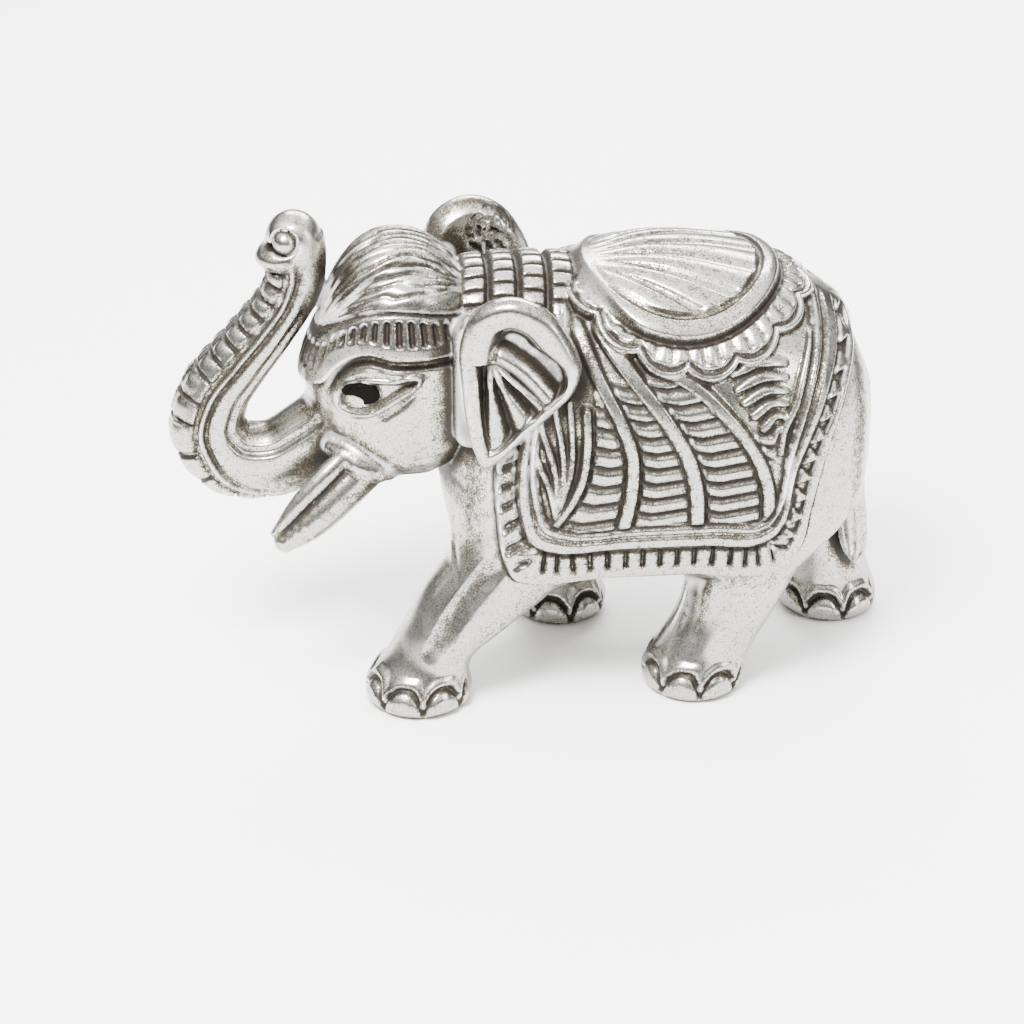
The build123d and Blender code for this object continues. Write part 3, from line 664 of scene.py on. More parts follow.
def ear_pattern(u, v):
    """In the ear's plane: edge distance, relief of the outer face, and where the back is pitted."""
    edge, _ = outline_distance(EAR_EDGE, u, v, 5)
    deep = -edge
    angle = np.degrees(np.arctan2(v - EAR_FAN[1], u - EAR_FAN[0]))
    away = np.hypot(u - EAR_FAN[0], v - EAR_FAN[1])
    rolled = ramp(angle, -34, 4) + ramp(-angle, 118, 150)
    rolled_top = ramp(angle, -22, 25)
    rim_width = 1.2 + 3.0 * rolled_top + 1.5 * ramp(-u, 3, 7.5) * (1 - rolled_top)
    well = ramp(deep - rim_width, 0, 0.9 + 1.5 * rolled_top)
    fan = (angle + 97) / (60.0 / EAR_FLUTES)
    ridge = 0.5 - 0.5 * np.cos(fan * 2 * math.pi)
    in_fan = ramp(angle, -101, -94) * (1 - ramp(angle, -40, -36))
    flutes = in_fan * ridge * ramp(away, 1, 4)
    outer = -2.6 * well + 1.9 * well * flutes ** 0.4
    main = -2.6 + 2.5 * bump(curve_distance(EAR_MAIN_FLUTE, u, v), 2.5)
    outer = np.maximum(outer, main) * well + outer * (1 - well)
    outer += 0.85 * bump(deep - rim_width * 0.5, rim_width * 0.7) * np.minimum(rolled, 1)
    pitted = 1 - ramp(np.hypot(u - 1.5, v - 8.9), 4.1, 4.6)
    return edge, outer, pitted


ear_sheet = Sheet(ear_pattern, (-16, -22), (15, 21), 0.1)


def ear_plane(p):
    """A point along the left ear, up it, and out from it."""
    q = p - EAR_CENTRE
    u = q[:, 0] * math.cos(EAR_TURN) - q[:, 1] * math.sin(EAR_TURN)
    w = -q[:, 0] * math.sin(EAR_TURN) - q[:, 1] * math.cos(EAR_TURN)
    return u, q[:, 2], w


def ear_recess(p):
    """How deep in the hollows of the left ear's face a point lies, 0 to 1."""
    u, v, w = ear_plane(p)
    edge, outer, _ = ear_sheet(u, v)
    return ramp(-outer, 0.8, 2.3) * ramp(-edge, 0.5, 1.5) * (np.abs(w - 0.1 - outer) < 0.8)


def ear(p):
    """Left ear and the root that joins it to the head."""
    u, v, w = ear_plane(p)
    edge, outer, pitted = ear_sheet(u, v)
    thick = EAR_THICK * (0.65 + 0.35 * ramp(-edge, 0.2, 2.2))
    thick = thick + pitted * (0.34 * speckle(p, PIT_SIZE, PIT_SEED) - 0.25)
    d = meet(meet(edge, w - 0.1 - outer, 1.6), -(w + thick), 1.6)
    root = meet(np.abs(p[:, 0] - EAR_ROOT[0]) - 2.9, np.abs(p[:, 2] - EAR_ROOT[2]) - 10.5, 3)
    root = meet(root, np.abs(p[:, 1] - EAR_ROOT[1]) - 4.2, 2)
    return join(d, root, 1.5)


TAIL = [(54.6, 0, 54, 2.6), (57.6, 0, 49, 2.4), (58.6, 0, 42, 2.1), (58.4, 0, 34, 2),
        (58.6, 0.4, 26, 2.3), (59.2, 1, 20, 2.7), (59.8, 1.2, 15.6, 2.2), (60.2, 1.2, 12.8, 1)]


def tail(p):
    """Tail with strands in the tuft."""
    d = tube(TAIL, p, 4)
    x, y, z = p.T
    turn = np.arctan2(y - 0.6, x - 59)
    strands = np.abs(np.sin(turn * 4 + z * 0.25)) * ramp(28.0 - z, 0, 3)
    return d + 0.5 * strands ** 2 * 0.8


# ---------------- legs
LEGS = {
    "leg_front_left": [
        (0, -17.2, -14.8, 8.2, 8.2), (2.6, -17.2, -14.8, 8.8, 8.8), (5.4, -16.8, -14.8, 8, 7.9),
        (8.2, -15.4, -14.6, 7.4, 7), (13.6, -10.8, -14.2, 8.9, 7.2), (19, -5.8, -13.6, 10.9, 7.4),
        (25.6, -0.4, -12.6, 11.4, 7.8), (31, 2, -11.6, 10.4, 7.6),
        (38, 3.6, -10.6, 8.4, 6.4),
    ],
    "leg_front_right": [
        (0, 9.6, 13.4, 8, 8), (2.6, 9.6, 13.4, 8.5, 8.5), (5.4, 9.4, 13.4, 7.7, 7.7),
        (8.2, 8.8, 13.4, 6.9, 6.8), (14, 7.6, 13.2, 7.2, 7), (20, 6.2, 12.8, 8.4, 7.3),
        (26, 5.2, 12.2, 9.4, 7.6), (31, 5, 11.6, 9.2, 7.6),
        (38, 5, 10.6, 8, 6.4),
    ],
    "leg_hind_left": [
        (0, 29.3, -14.6, 7.9, 7.9), (2.6, 29.3, -14.6, 8.4, 8.4), (5.4, 29.9, -14.6, 8.2, 7.8),
        (8.2, 31.4, -14.5, 8.1, 7.2), (14, 34.6, -14.2, 8.2, 7.1), (20, 37, -13.6, 9, 7.4),
        (26, 38.6, -12.6, 10, 7.6), (31, 39.4, -11.6, 10, 7.6),
        (38, 40, -10.4, 8.6, 6.4),
    ],
    "leg_hind_right": [
        (0, 57.4, 9.6, 8, 8), (2.6, 57.4, 9.6, 8.6, 8.6), (5.4, 57.2, 9.6, 8, 7.9),
        (8.2, 56.8, 9.6, 7.4, 7.3), (14, 55.4, 9.8, 7.2, 7.1), (20, 53, 10.2, 7.6, 7.3),
        (26, 49.8, 10.6, 8.4, 7.5), (33, 46.6, 10.8, 8.6, 7.4),
        (38, 45, 10.4, 8, 6.4),
    ],
}
LEG_TABLES = {name: Table(rows) for name, rows in LEGS.items()}
LEG_TOP = 38.0
NAIL_PITCH, NAIL_PHASE, NAIL_SPREAD = np.radians([47, 19, 158])
CREASES = {
    "leg_front_left": [[(-4.2, 27), (-8.8, 21.6), (-12.6, 16), (-15.2, 11)]],
    "leg_front_right": [[(3, 22), (2.8, 15), (3.4, 8)]],
    "leg_hind_left": [[(29.6, 21), (28.8, 15), (26.6, 9)], [(31.6, 21), (31, 15), (28.8, 9)]],
    "leg_hind_right": [[(47.6, 22), (49, 15), (50.4, 8)]],
}


def leg(name, p):
    """A leg with its toenails and folds."""
    x, y, z = p.T
    level = np.clip(z, 0, LEG_TOP)
    cx, cy, rx, ry = LEG_TABLES[name](level)
    sx, sy, srx, sry = LEG_TABLES[name].slope(level)
    u, v = x - cx, y - cy
    e = np.maximum(np.hypot(u / rx, v / ry), SMALL)
    r = np.maximum(np.hypot(u, v), SMALL)
    lean = (u / r) * sx + (v / r) * sy + (u / r) ** 2 * srx + (v / r) ** 2 * sry
    d = (r - r / e) / np.sqrt(1 + np.clip(lean, -2, 2) ** 2)
    outward = -1.0 if "left" in name else 1.0
    heading = np.arctan2(v * outward, -u)
    place = ((heading - NAIL_PHASE) / NAIL_PITCH + 0.5) % 1 - 0.5
    relief = np.zeros(len(p))
    live = ramp(NAIL_SPREAD - np.abs(heading), 0, 0.2)
    above = (z - 5.2 + 3.6 * (2 * np.abs(place)) ** 2.6) / np.sqrt(1 + (3.4 * np.abs(place)) ** 2)
    relief += 0.4 * ramp(-above, 0.1, 1.6) * ramp(z, 0.2, 1.6) * live
    relief -= 0.5 * bump(above, 0.6) * live * ramp(z, 0.4, 1.2)
    relief += 0.35 * bump(above - 1.1, 0.9) * live
    d = d - relief
    facing = ramp(v * outward, -1, 2)
    for line in CREASES[name]:
        away = curve_distance(line, x, z, 3)
        d = d + facing * (0.6 * bump(away, 2) - 0.2 * bump(away - 3, 2.2)) * ramp(z, 8, 14)
    d = meet(d, -z, 0.8)
    return meet(d, z - 37.5, 4)


# ---------------- the whole figurine as one field
PIECES = [
    "torso", "head", "trunk", "trunk_bead_strip", "forehead_cap", "headband", "tusk_left", "tusk_right",
    "ear_left", "ear_right", "eye_left", "eye_right", "collar_front", "collar_middle", "collar_rear",
    "saddle_cloth", "scalloped_ruff", "saddle_pad", "leg_front_left", "leg_front_right", "leg_hind_left",
    "leg_hind_right", "tail",
]
NUMBER = {name: i for i, name in enumerate(PIECES)}


def near(p, low, high, make, width=1):
    """Works a field out only where it matters and gives BIG elsewhere."""
    mask = np.all((p > np.array(low) - MARGIN) & (p < np.array(high) + MARGIN), axis=1)
    out = [np.full(len(p), BIG) for _ in range(width)]
    if mask.any():
        made = make(p[mask])
        made = made if isinstance(made, tuple) else (made,)
        for column, value in zip(out, made):
            column[mask] = value
    return out if width > 1 else out[0]


def figurine(p, want_pieces=False):
    """The whole surface, and optionally which piece each point belongs to."""
    mirror = p * FLIP
    body, raised, on_cloth, on_ruff, on_pad = near(p, (-13, -26, 20), (61, 26, 76), barrel, 5)
    neck_d, collar = near(p, (-16, -17, 36), (11, 17, 76), neck, 2)
    head_d, above_low, above_high, pupil = near(p, (-38, -17, 37), (-4, 17, 80), head, 4)
    trunk_d, strip = near(p, (-60, -9, 28), (-22, 9, 84), trunk, 2)
    tusks = [near(q, (-43, -18, 26), (-22, -4, 48), tusk) for q in (p, mirror)]
    lips = [near(q, (-35, -14, 37), (-21, -5, 50), lambda r: tube(LIP, r)) for q in (p, mirror)]
    ears = [near(q, (-12, -26, 42), (9, -9, 77), ear)
            for q in (p, mirror + RIGHT_EAR_MOVE)]
    legs = {}
    for name, rows in LEGS.items():
        rows = np.array(rows)
        low = (rows[:, 1] - rows[:, 3]).min(), (rows[:, 2] - rows[:, 4]).min(), 0
        high = (rows[:, 1] + rows[:, 3]).max(), (rows[:, 2] + rows[:, 4]).max(), 36
        legs[name] = near(p, low, high, lambda r, name=name: leg(name, r))
    tail_d = near(p, (51, -4, 11), (64, 4, 58), tail)

    trunk_d, neck_d = np.minimum(trunk_d, BIG), np.minimum(neck_d, BIG)
    face = join(head_d, trunk_d, 1.6)
    for lip in lips:
        face = join(face, lip, 2.2)
    for piece in tusks:
        face = join(face, piece, 0.5)
    whole = join(face, neck_d, 0.9)
    lower = np.minimum(np.minimum(legs["leg_front_left"], legs["leg_front_right"]),
                       np.minimum(legs["leg_hind_left"], legs["leg_hind_right"]))
    clothed = join(body, lower, 4.5) - np.where(body < BIG, raised, 0)
    whole = join(whole, clothed, 0.7)
    for piece in ears:
        whole = join(whole, piece, 0.7)
    whole = join(whole, tail_d, 0.6)
    if not want_pieces:
        return whole
    bodies = [body - np.where(body < BIG, raised, 0), head_d, trunk_d, neck_d]
    owner = np.argmin(np.stack([*bodies, *tusks, *ears, *legs.values(), tail_d]), axis=0)
    left = p[:, 1] < 0
    shares = [                      # nearest field, where on it, and the piece; the last that fits counts
        (0, True, "torso"), (0, on_cloth > 0.4, "saddle_cloth"), (0, on_ruff > 0.4, "scalloped_ruff"),
        (0, on_pad > 0.4, "saddle_pad"), (1, True, "head"), (1, above_low > -0.55, "headband"),
        (1, above_high > 0.3, "forehead_cap"), (1, (pupil < 0) & left, "eye_left"),
        (1, (pupil < 0) & ~left, "eye_right"), (2, True, "trunk"), (2, strip > 0.4, "trunk_bead_strip"),
        (3, True, "head"), (3, collar == 0, "collar_front"), (3, collar == 1, "collar_middle"),
        (3, collar == 2, "collar_rear"), (4, True, "tusk_left"), (5, True, "tusk_right"),
        (6, True, "ear_left"), (7, True, "ear_right"), (12, True, "tail"),
    ]
    shares += [(8 + i, True, name) for i, name in enumerate(LEGS)]
    piece = np.zeros(len(p), int)
    for nearest, where, name in shares:
        piece[(owner == nearest) & where] = NUMBER[name]
    return piece


# ---------------- cutting the surface out of the field
FIELD_LOW, FIELD_HIGH = np.array([-60, -27.5, -1.2]), np.array([68.5, 27.5, 84.5])
BLOCK = 4                           # cells along a side of each block that is tried first


def gradient(p, h=0.06):
    """Slope of the field."""
    total = np.zeros_like(p)
    for k in ((1, -1, -1), (-1, -1, 1), (-1, 1, -1), (1, 1, 1)):
        k = np.array(k, float)
        total += k * figurine(p + k * h)[:, None]
    return total / (4 * h)


def at_corner(grid, corner):
    """A grid's values at one corner of each of its cells."""
    return grid[tuple(slice(o, n - 1 + o) for o, n in zip(corner, grid.shape))]


def fill_field():
    """The field on a grid, worked out only in the blocks of cells that the surface may cross."""
    shape = (np.ceil((FIELD_HIGH - FIELD_LOW) / (STEP * BLOCK)).astype(int)) * BLOCK + 1
    coarse = [np.arange(0, n, BLOCK) for n in shape]
    grid = np.stack(np.meshgrid(*coarse, indexing="ij"), -1).reshape(-1, 3)
    rough = figurine(FIELD_LOW + grid * STEP).reshape([len(c) for c in coarse])
    worth = np.abs(rough) < STEP * BLOCK * 1.25 + 0.9
    busy = np.any([at_corner(worth, corner) for corner in CORNERS], axis=0)
    sign = np.sign(at_corner(rough, (0, 0, 0)))
    for axis in range(3):
        sign = np.repeat(sign, BLOCK, axis)
    field = np.full(shape, BIG, np.float32)
    field[:-1, :-1, :-1] = sign * BIG
    cells = np.argwhere(busy) * BLOCK
    wanted = np.zeros(shape, bool)
    for offset in itertools.product(range(BLOCK + 1), repeat=3):
        wanted[tuple((cells + offset).T)] = True
    points = np.argwhere(wanted)
    parts = np.array_split(points, max(1, len(points) // 400000))
    field[wanted] = np.concatenate([figurine(FIELD_LOW + part * STEP) for part in parts])
    return field


def cell_points(field, cell):
    """The point in each crossed cell: the mean of where the surface crosses the cell's edges."""
    total, count = np.zeros((len(cell), 3)), np.zeros(len(cell))
    value = {corner: field[tuple((cell + corner).T)].astype(float) for corner in CORNERS}
    for axis in range(3):
        for start in CORNERS:
            if start[axis]:
                continue
            end = tuple(1 if i == axis else o for i, o in enumerate(start))
            a, b = value[start], value[end]
            cross = (a < 0) != (b < 0)
            t = np.where(cross, a / np.where(cross, a - b, 1), 0)
            total += (start + np.outer(t, np.eye(3)[axis])) * cross[:, None]
            count += cross
    return FIELD_LOW + (cell + total / count[:, None]) * STEP


def cut_surface():
    """Vertices and quads of the field's zero surface, one vertex in each cell that it crosses."""
    field = fill_field()
    solid = field < 0
    some, every = at_corner(solid, CORNERS[0]).copy(), at_corner(solid, CORNERS[0]).copy()
    for corner in CORNERS[1:]:
        some |= at_corner(solid, corner)
        every &= at_corner(solid, corner)
    active = some & ~every
    cell = np.argwhere(active)
    index = np.full(active.shape, -1, np.int64)
    index[active] = np.arange(len(cell))
    quads = []
    for axis in range(3):
        b_axis, c_axis = (axis + 1) % 3, (axis + 2) % 3
        one = [slice(None)] * 3
        two = [slice(None)] * 3
        one[axis], two[axis] = slice(0, -1), slice(1, None)
        a, b = solid[tuple(one)], solid[tuple(two)]
        edge = np.argwhere(a != b)
        for other in (b_axis, c_axis):
            edge = edge[(edge[:, other] > 0) & (edge[:, other] < active.shape[other])]
        ring = []
        for db, dc in ((0, 0), (-1, 0), (-1, -1), (0, -1)):
            at = edge.copy()
            at[:, b_axis] += db
            at[:, c_axis] += dc
            ring.append(index[tuple(at.T)])
        quad = np.stack(ring, 1)
        flip = ~a[tuple(edge.T)]
        quad[flip] = quad[flip][:, ::-1]
        quads.append(quad)
    quads = np.concatenate(quads)
    return cell_points(field, cell), quads[(quads >= 0).all(1)]


def neighbours_mean(vertices, quads):
    """Average of the corners of the faces round each vertex."""
    total = np.zeros_like(vertices)
    count = np.zeros(len(vertices))
    centre = vertices[quads].mean(1)
    for i in range(4):
        for a in range(3):
            total[:, a] += np.bincount(quads[:, i], centre[:, a], len(vertices))
        count += np.bincount(quads[:, i], minlength=len(vertices))
    return total / np.maximum(count, 1)[:, None]


def in_parts(function, p, size=300000):
    """Runs a function on a long list of points in parts."""
    return np.concatenate([function(part) for part in np.array_split(p, max(1, len(p) // size))])


def sculpt():
    """The finished surface, its normals, and how shut in each point is, which sets the patina and painted
    shade in the hollows.
    """
    vertices, quads = cut_surface()
    for turn in range(3):
        if turn < 2:
            vertices = 0.4 * vertices + 0.6 * neighbours_mean(vertices, quads)
        slope = in_parts(gradient, vertices)
        value = in_parts(figurine, vertices)
        size = np.maximum((slope ** 2).sum(1), 0.15)
        move = -slope * (value / size)[:, None]
        length = np.linalg.norm(move, axis=1)
        move *= np.minimum(1, STEP * 0.8 / np.maximum(length, TINY))[:, None]
        vertices = vertices + move
    slope = in_parts(gradient, vertices)
    normal = slope / np.maximum(np.linalg.norm(slope, axis=1), TINY)[:, None]
    # painted shade and patina: the more the field stays near when stepped out along the normal, the darker,
    # so creases, gaps between parts and undersides are darkened
    hollow_patina_shade = np.zeros(len(vertices))
    for reach, share in ((0.4, 0.2), (0.9, 0.25), (1.8, 0.25), (3.2, 0.2), (4.4, 0.15)):
        value = in_parts(figurine, vertices + normal * reach)
        hollow_patina_shade += share * (1 - np.clip(value / reach, 0, 1))
    # the hollows of the ear's face get more painted shade and patina
    for side in (vertices, vertices * FLIP + RIGHT_EAR_MOVE):
        hollow_patina_shade += 0.3 * in_parts(ear_recess, side)
    worn = 1 + in_parts(figurine, vertices - normal * 0.7) / 0.7
    vertices[:, 2] = np.maximum(vertices[:, 2], 0)
    return vertices, quads, normal, hollow_patina_shade, np.clip(worn, 0, 1)


# ---------------- Blender objects
def to_frame(p):
    """From the sculpture's millimetres to the frame's metres."""
    return p * MM + np.array([SHIFT_X, 0, 0])


def smooth_seams(vertices, quads, normal, label):
    """Evens out the lines between neighbouring pieces."""
    sides = np.concatenate([quads[:, [i, (i + 1) % 4]] for i in range(4)])
    owner = np.tile(label, 4)
    key = np.sort(sides, 1)
    order = np.lexsort((key[:, 1], key[:, 0]))
    key, owner = key[order], owner[order]
    same = (key[1:] == key[:-1]).all(1) & (owner[1:] != owner[:-1])
    seam = key[1:][same]
    degree = np.bincount(seam.ravel(), minlength=len(vertices))
    for _ in range(6):
        total = np.zeros_like(vertices)
        for a, b in ((0, 1), (1, 0)):
            for axis in range(3):
                total[:, axis] += np.bincount(seam[:, a], vertices[seam[:, b], axis], len(vertices))
        pick = degree == 2
        move = 0.5 * (total[pick] / 2 - vertices[pick])
        move -= normal[pick] * (move * normal[pick]).sum(1)[:, None]
        vertices[pick] += move
    return vertices


def surface_normals(vertices, quads):
    """Normals of the whole surface, so that neighbouring pieces shade as one."""
    a, b, c, d = (vertices[quads[:, i]] for i in range(4))
    way = np.cross(c - a, d - b)
    total = np.zeros_like(vertices)
    for i in range(4):
        for axis in range(3):
            total[:, axis] += np.bincount(quads[:, i], way[:, axis], len(vertices))
    return total / np.maximum(np.linalg.norm(total, axis=1), TINY)[:, None]


def close_shell(vertices, quads, normal):
    """A patch of the surface closed into a thin shell."""
    count = len(vertices)
    soft = normal.copy()
    for _ in range(4):
        soft = neighbours_mean(soft, quads)
    soft /= np.maximum(np.linalg.norm(soft, axis=1), TINY)[:, None]
    base = vertices.copy()
    for _ in range(3):
        base = neighbours_mean(base, quads)
    inner = base - soft * SHELL
    sides = np.concatenate([quads[:, [i, (i + 1) % 4]] for i in range(4)])
    code = np.sort(sides, 1)
    key = code[:, 0].astype(np.int64) * count + code[:, 1]
    _, where, times = np.unique(key, return_index=True, return_counts=True)
    rim = sides[where[times == 1]]
    walls = np.column_stack([rim[:, 1], rim[:, 0], rim[:, 0] + count, rim[:, 1] + count])
    faces = np.vstack([quads, quads[:, ::-1] + count, walls])
    return np.vstack([vertices, inner]), faces, np.vstack([normal, -soft])


def make_mesh(name, vertices, faces, normals, shades):
    """A Blender object from arrays, with point attributes."""
    mesh = bpy.data.meshes.new(name)
    mesh.vertices.add(len(vertices))
    mesh.vertices.foreach_set("co", vertices.astype(np.float32).ravel())
    mesh.loops.add(faces.size)
    mesh.loops.foreach_set("vertex_index", faces.astype(np.int32).ravel())
    mesh.polygons.add(len(faces))
    mesh.polygons.foreach_set("loop_start", np.arange(0, faces.size, 4, dtype=np.int32))
    mesh.update(calc_edges=True)
    mesh.polygons.foreach_set("use_smooth", np.ones(len(faces), bool))
    mesh.normals_split_custom_set_from_vertices(normals)
    for key, values in shades.items():
        layer = mesh.attributes.new(key, "FLOAT", "POINT")
        layer.data.foreach_set("value", values.astype(np.float32))
    thing = bpy.data.objects.new(name, mesh)
    bpy.context.scene.collection.objects.link(thing)
    return thing


class Graph:
    """Short calls for making the nodes of one tree."""

    def __init__(self, tree):
        self.tree = tree

    def add(self, kind, inputs=None, **settings):
        """A new node with its settings, and its inputs, each a plain value or another node's output."""
        node = self.tree.nodes.new("ShaderNode" + kind)
        for key, value in settings.items():
            setattr(node, key, value)
        for key, value in (inputs or {}).items():
            self.feed(node.inputs[key], value)
        return node

    def feed(self, socket, value):
        """Links an output to a socket, or sets the socket to a plain value."""
        if isinstance(value, bpy.types.NodeSocket):
            self.tree.links.new(value, socket)
        else:
            socket.default_value = value

    def attribute(self, name):
        """A point attribute."""
        return self.add("Attribute", attribute_name=name).outputs["Fac"]

    def place(self, kind="Object"):
        """Texture coordinates."""
        return self.add("TexCoord").outputs[kind]

    def mapped(self, value, low, high, to_low=0, to_high=1):
        """A value moved from one range to another and clamped."""
        ends = {"Value": value, "From Min": low, "From Max": high, "To Min": to_low, "To Max": to_high}
        return self.add("MapRange", ends).outputs["Result"]

    def sums(self, kind, a, b):
        """A maths node on two values, clamped where they are added or subtracted."""
        clamped = kind in ("ADD", "SUBTRACT")
        return self.add("Math", {0: a, 1: b}, operation=kind, use_clamp=clamped).outputs[0]

    def noise(self, place, scale, detail):
        """Noise over coordinates."""
        return self.add("TexNoise", {"Vector": place, "Scale": scale, "Detail": detail}).outputs["Fac"]

    def ramp(self, value, stops):
        """A colour ramp over a value."""
        node = self.add("ValToRGB", {"Fac": value})
        elements = node.color_ramp.elements
        while len(elements) < len(stops):
            elements.new(0.5)
        for element, (at, colour) in zip(elements, stops):
            element.position = at
            element.color = (*colour, 1)
        return node.outputs["Color"]

    def mix(self, factor, a, b, blend="MIX"):
        """Two colours mixed; the second is a plain one."""
        node = self.add("Mix", data_type="RGBA", blend_type=blend)
        for key, value in (("Factor", factor), ("A", a), ("B", (*b, 1))):
            self.feed(node.inputs[key], value)
        return node.outputs["Result"]


def new_material(name):
    """A material, its graph and its shader."""
    material = bpy.data.materials.new(name)
    material.use_nodes = True
    return material, Graph(material.node_tree), material.node_tree.nodes["Principled BSDF"]


PATINA_SHADE_COLOURS = [                          # colour by how deep the patina and the painted shade are
    (0, (0.40, 0.39, 0.355)), (0.2, (0.25, 0.237, 0.205)), (0.5, (0.090, 0.077, 0.058)),
    (1, (0.016, 0.012, 0.008)),
]
FROSTED, POLISHED = (0.66, 0.64, 0.59), (0.62, 0.61, 0.58)
ENAMEL = [(0, (0.0015, 0.0010, 0.0008)), (1, (0.0040, 0.0028, 0.0020))]
GRAIN_STRENGTH, GRAIN_DEPTH = 0.3, 0.00006


def silver(name, patina_shade_gain, frost):
    """Antiqued silver: bright rubbed metal, frosted faces, and brown-grey patina with painted shade in the
    hollows.
    """
    material, g, shader = new_material(name)
    place = g.place()
    hollow_patina_shade, worn = g.attribute("hollow_patina_shade"), g.attribute("worn")
    fine, patch, cloud = g.noise(place, 3600, 2), g.noise(place, 900, 4), g.noise(place, 110, 4)
    # patina and painted shade: the hollow measure, with random patches and grain of patina, less on worn
    # ridges
    patina_and_shade = g.sums("ADD", hollow_patina_shade, g.mapped(patch, 0.3, 0.8, -0.09, 0.11))
    patina_and_shade = g.sums("ADD", patina_and_shade, g.mapped(fine, 0.35, 0.65, -0.09, 0.09))
    patina_and_shade = g.sums("SUBTRACT", patina_and_shade, g.mapped(worn, 0.05, 0.5, 0, 0.12))
    patina_and_shade = g.mapped(patina_and_shade, 0.03, 0.34 / patina_shade_gain)
    speck = g.mix(g.mapped(fine, 0.45, 0.72, 0, frost), g.ramp(patina_and_shade, PATINA_SHADE_COLOURS), FROSTED, "MULTIPLY")
    g.feed(shader.inputs["Base Color"], g.mix(g.mapped(worn, 0.12, 0.5), speck, POLISHED))
    rough = g.mapped(cloud, 0.3, 0.7, 0.20, 0.32)
    rough = g.sums("ADD", rough, g.mapped(patina_and_shade, 0.2, 1, 0, 0.34))
    g.feed(shader.inputs["Roughness"], g.sums("SUBTRACT", rough, g.mapped(worn, 0.1, 0.5, 0, 0.1)))
    g.feed(shader.inputs["Metallic"], g.mapped(patina_and_shade, 0.45, 1, 1, 0.5))
    grain = g.sums("ADD", g.sums("MULTIPLY", fine, 0.5), g.sums("MULTIPLY", patch, 0.5))
    relief = g.add("Bump", {"Strength": GRAIN_STRENGTH, "Distance": GRAIN_DEPTH, "Height": grain})
    g.feed(shader.inputs["Normal"], relief.outputs["Normal"])
    return material


def enamel():
    """Black enamel of the eyes."""
    material, g, shader = new_material("eye_enamel")
    cloud = g.noise(g.place(), 700, 3)
    g.feed(shader.inputs["Base Color"], g.ramp(cloud, ENAMEL))
    g.feed(shader.inputs["Roughness"], g.mapped(cloud, 0.3, 0.7, 0.5, 0.65))
    shader.inputs["Specular IOR Level"].default_value = 0.03
    return material


def build_pieces():
    """Every piece as a closed shell that stands for its CAD node."""
    vertices, quads, normal, hollow_patina_shade, worn = sculpt()
    piece_of = in_parts(lambda part: figurine(part, True), vertices[quads].mean(1))
    vertices = smooth_seams(vertices, quads, normal, piece_of)
    normal = surface_normals(vertices, quads)
    for _ in range(2):
        hollow_patina_shade, worn = neighbours_mean(np.column_stack([hollow_patina_shade, worn, worn]), quads)[:, :2].T
    slots = {entry["node"]: entry["material_slot"] for entry in frame["record"]["subparts"]}
    looks = {
        "silver_body": silver("silver_body", 1, 0.55),
        "silver_ornament": silver("silver_ornament", 1.12, 0.75),
        "eye_enamel": enamel(),
    }
    for name in PIECES:
        patch = quads[piece_of == NUMBER[name]]
        used, local = np.unique(patch, return_inverse=True)
        local = local.reshape(-1, 4)
        shell, faces, normals = close_shell(vertices[used], local, normal[used])
        shades = {
            "hollow_patina_shade": np.concatenate([hollow_patina_shade[used], np.ones(len(used))]),
            "worn": np.concatenate([worn[used], np.zeros(len(used))]),
        }
        thing = make_mesh(name + "_cast", to_frame(shell), faces, normals, shades)
        thing.data.materials.append(looks[slots[name]])
        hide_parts(name)
        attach(thing, "root")
        print("piece", name, "quads", len(faces))


# ---------------- stage, light and camera
def build_stage():
    """Wide pale floor under the figurine."""
    size = 40 * (high_corner - low_corner).length
    mesh = bpy.data.meshes.new("floor")
    half = size / 2
    corners = [(-half, -half, 0), (half, -half, 0), (half, half, 0), (-half, half, 0)]
    mesh.from_pydata(corners, [], [(0, 1, 2, 3)])
    floor = bpy.data.objects.new("floor", mesh)
    bpy.context.scene.collection.objects.link(floor)
    material, _, shader = new_material("paper")
    shader.inputs["Base Color"].default_value = (0.96, 0.96, 0.955, 1)
    shader.inputs["Roughness"].default_value = 0.9
    shader.inputs["Specular IOR Level"].default_value = 0.1
    mesh.materials.append(material)


def soft_box(name, place, size, power, target):
    """A rectangular area light aimed at the figurine."""
    light = bpy.data.lights.new(name, "AREA")
    light.shape = "RECTANGLE"
    light.size, light.size_y = size
    light.energy = power
    lamp = bpy.data.objects.new(name, light)
    lamp.location = place
    lamp.rotation_euler = (Vector(target) - Vector(place)).to_track_quat("-Z", "Y").to_euler()
    bpy.context.scene.collection.objects.link(lamp)


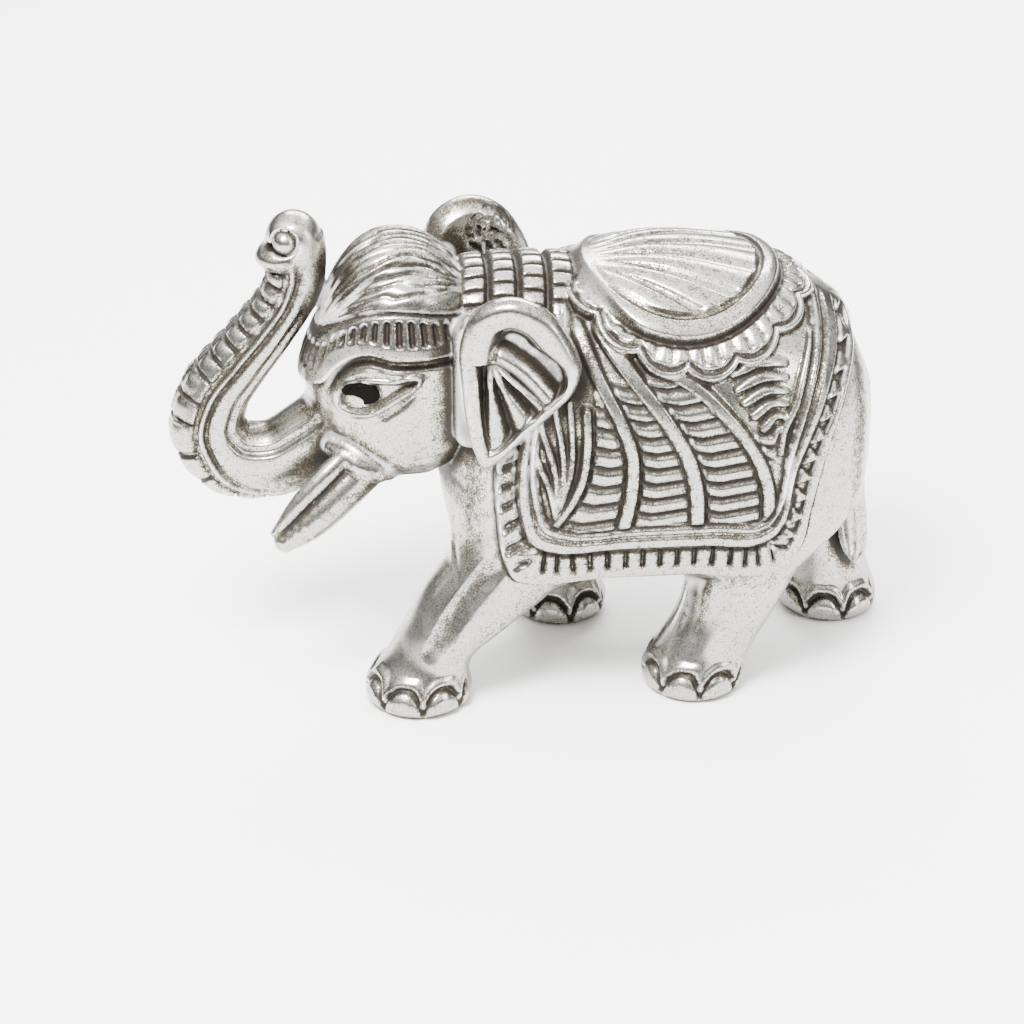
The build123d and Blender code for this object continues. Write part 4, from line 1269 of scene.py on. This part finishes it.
CAMERA_AZIMUTH, CAMERA_ELEVATION = -6, 28.0
CAMERA_DISTANCE = 480.0             # in the sculpture's millimetres
CAMERA_TARGET = (0, 0, 26)
CAMERA_LENS = 99.6
SKY = [(0, 0.30), (0.24, 0.05), (0.42, 0.08), (0.6, 0.48), (1, 2.1)]     # grey by height, below to above
SKY_STRENGTH = 2.6


def build_light_and_camera():
    """Soft studio light from above and around, and the camera."""
    target = to_frame(np.array([[0, 0, 40]]))[0]
    unit = 100 * MM
    soft_box("key", target + np.array([-1.6, -2.2, 4.2]) * unit, (1.8 * unit, 1.8 * unit), 11, target)
    soft_box("fill", target + np.array([4, -3.2, 2.2]) * unit, (1.4 * unit, 3.0 * unit), 1.8, target)
    soft_box("rim", target + np.array([0.8, 4.2, 3.2]) * unit, (4.0 * unit, 1.6 * unit), 5.5, target)
    world = bpy.data.worlds.new("studio")
    bpy.context.scene.world = world
    world.use_nodes = True
    g = Graph(world.node_tree)
    background = world.node_tree.nodes["Background"]
    split = g.add("SeparateXYZ", {"Vector": g.place("Generated")})
    height = g.mapped(split.outputs["Z"], -0.3, 1)
    g.feed(background.inputs["Color"], g.ramp(height, [(at, (grey, grey, grey)) for at, grey in SKY]))
    background.inputs["Strength"].default_value = SKY_STRENGTH

    azimuth, elevation = math.radians(CAMERA_AZIMUTH), math.radians(CAMERA_ELEVATION)
    back = np.array([math.sin(azimuth) * math.cos(elevation), -math.cos(azimuth) * math.cos(elevation),
                     math.sin(elevation)])
    aim = to_frame(np.array([CAMERA_TARGET]))[0]
    lens = bpy.data.cameras.new("camera")
    lens.lens = CAMERA_LENS
    lens.sensor_width = 36.0
    lens.clip_start, lens.clip_end = 0.01, 100.0
    camera = bpy.data.objects.new("camera", lens)
    camera.location = aim + back * CAMERA_DISTANCE * MM
    camera.rotation_euler = Vector(-back).to_track_quat("-Z", "Y").to_euler()
    bpy.context.scene.collection.objects.link(camera)
    bpy.context.scene.camera = camera


build_pieces()
build_stage()
build_light_and_camera()
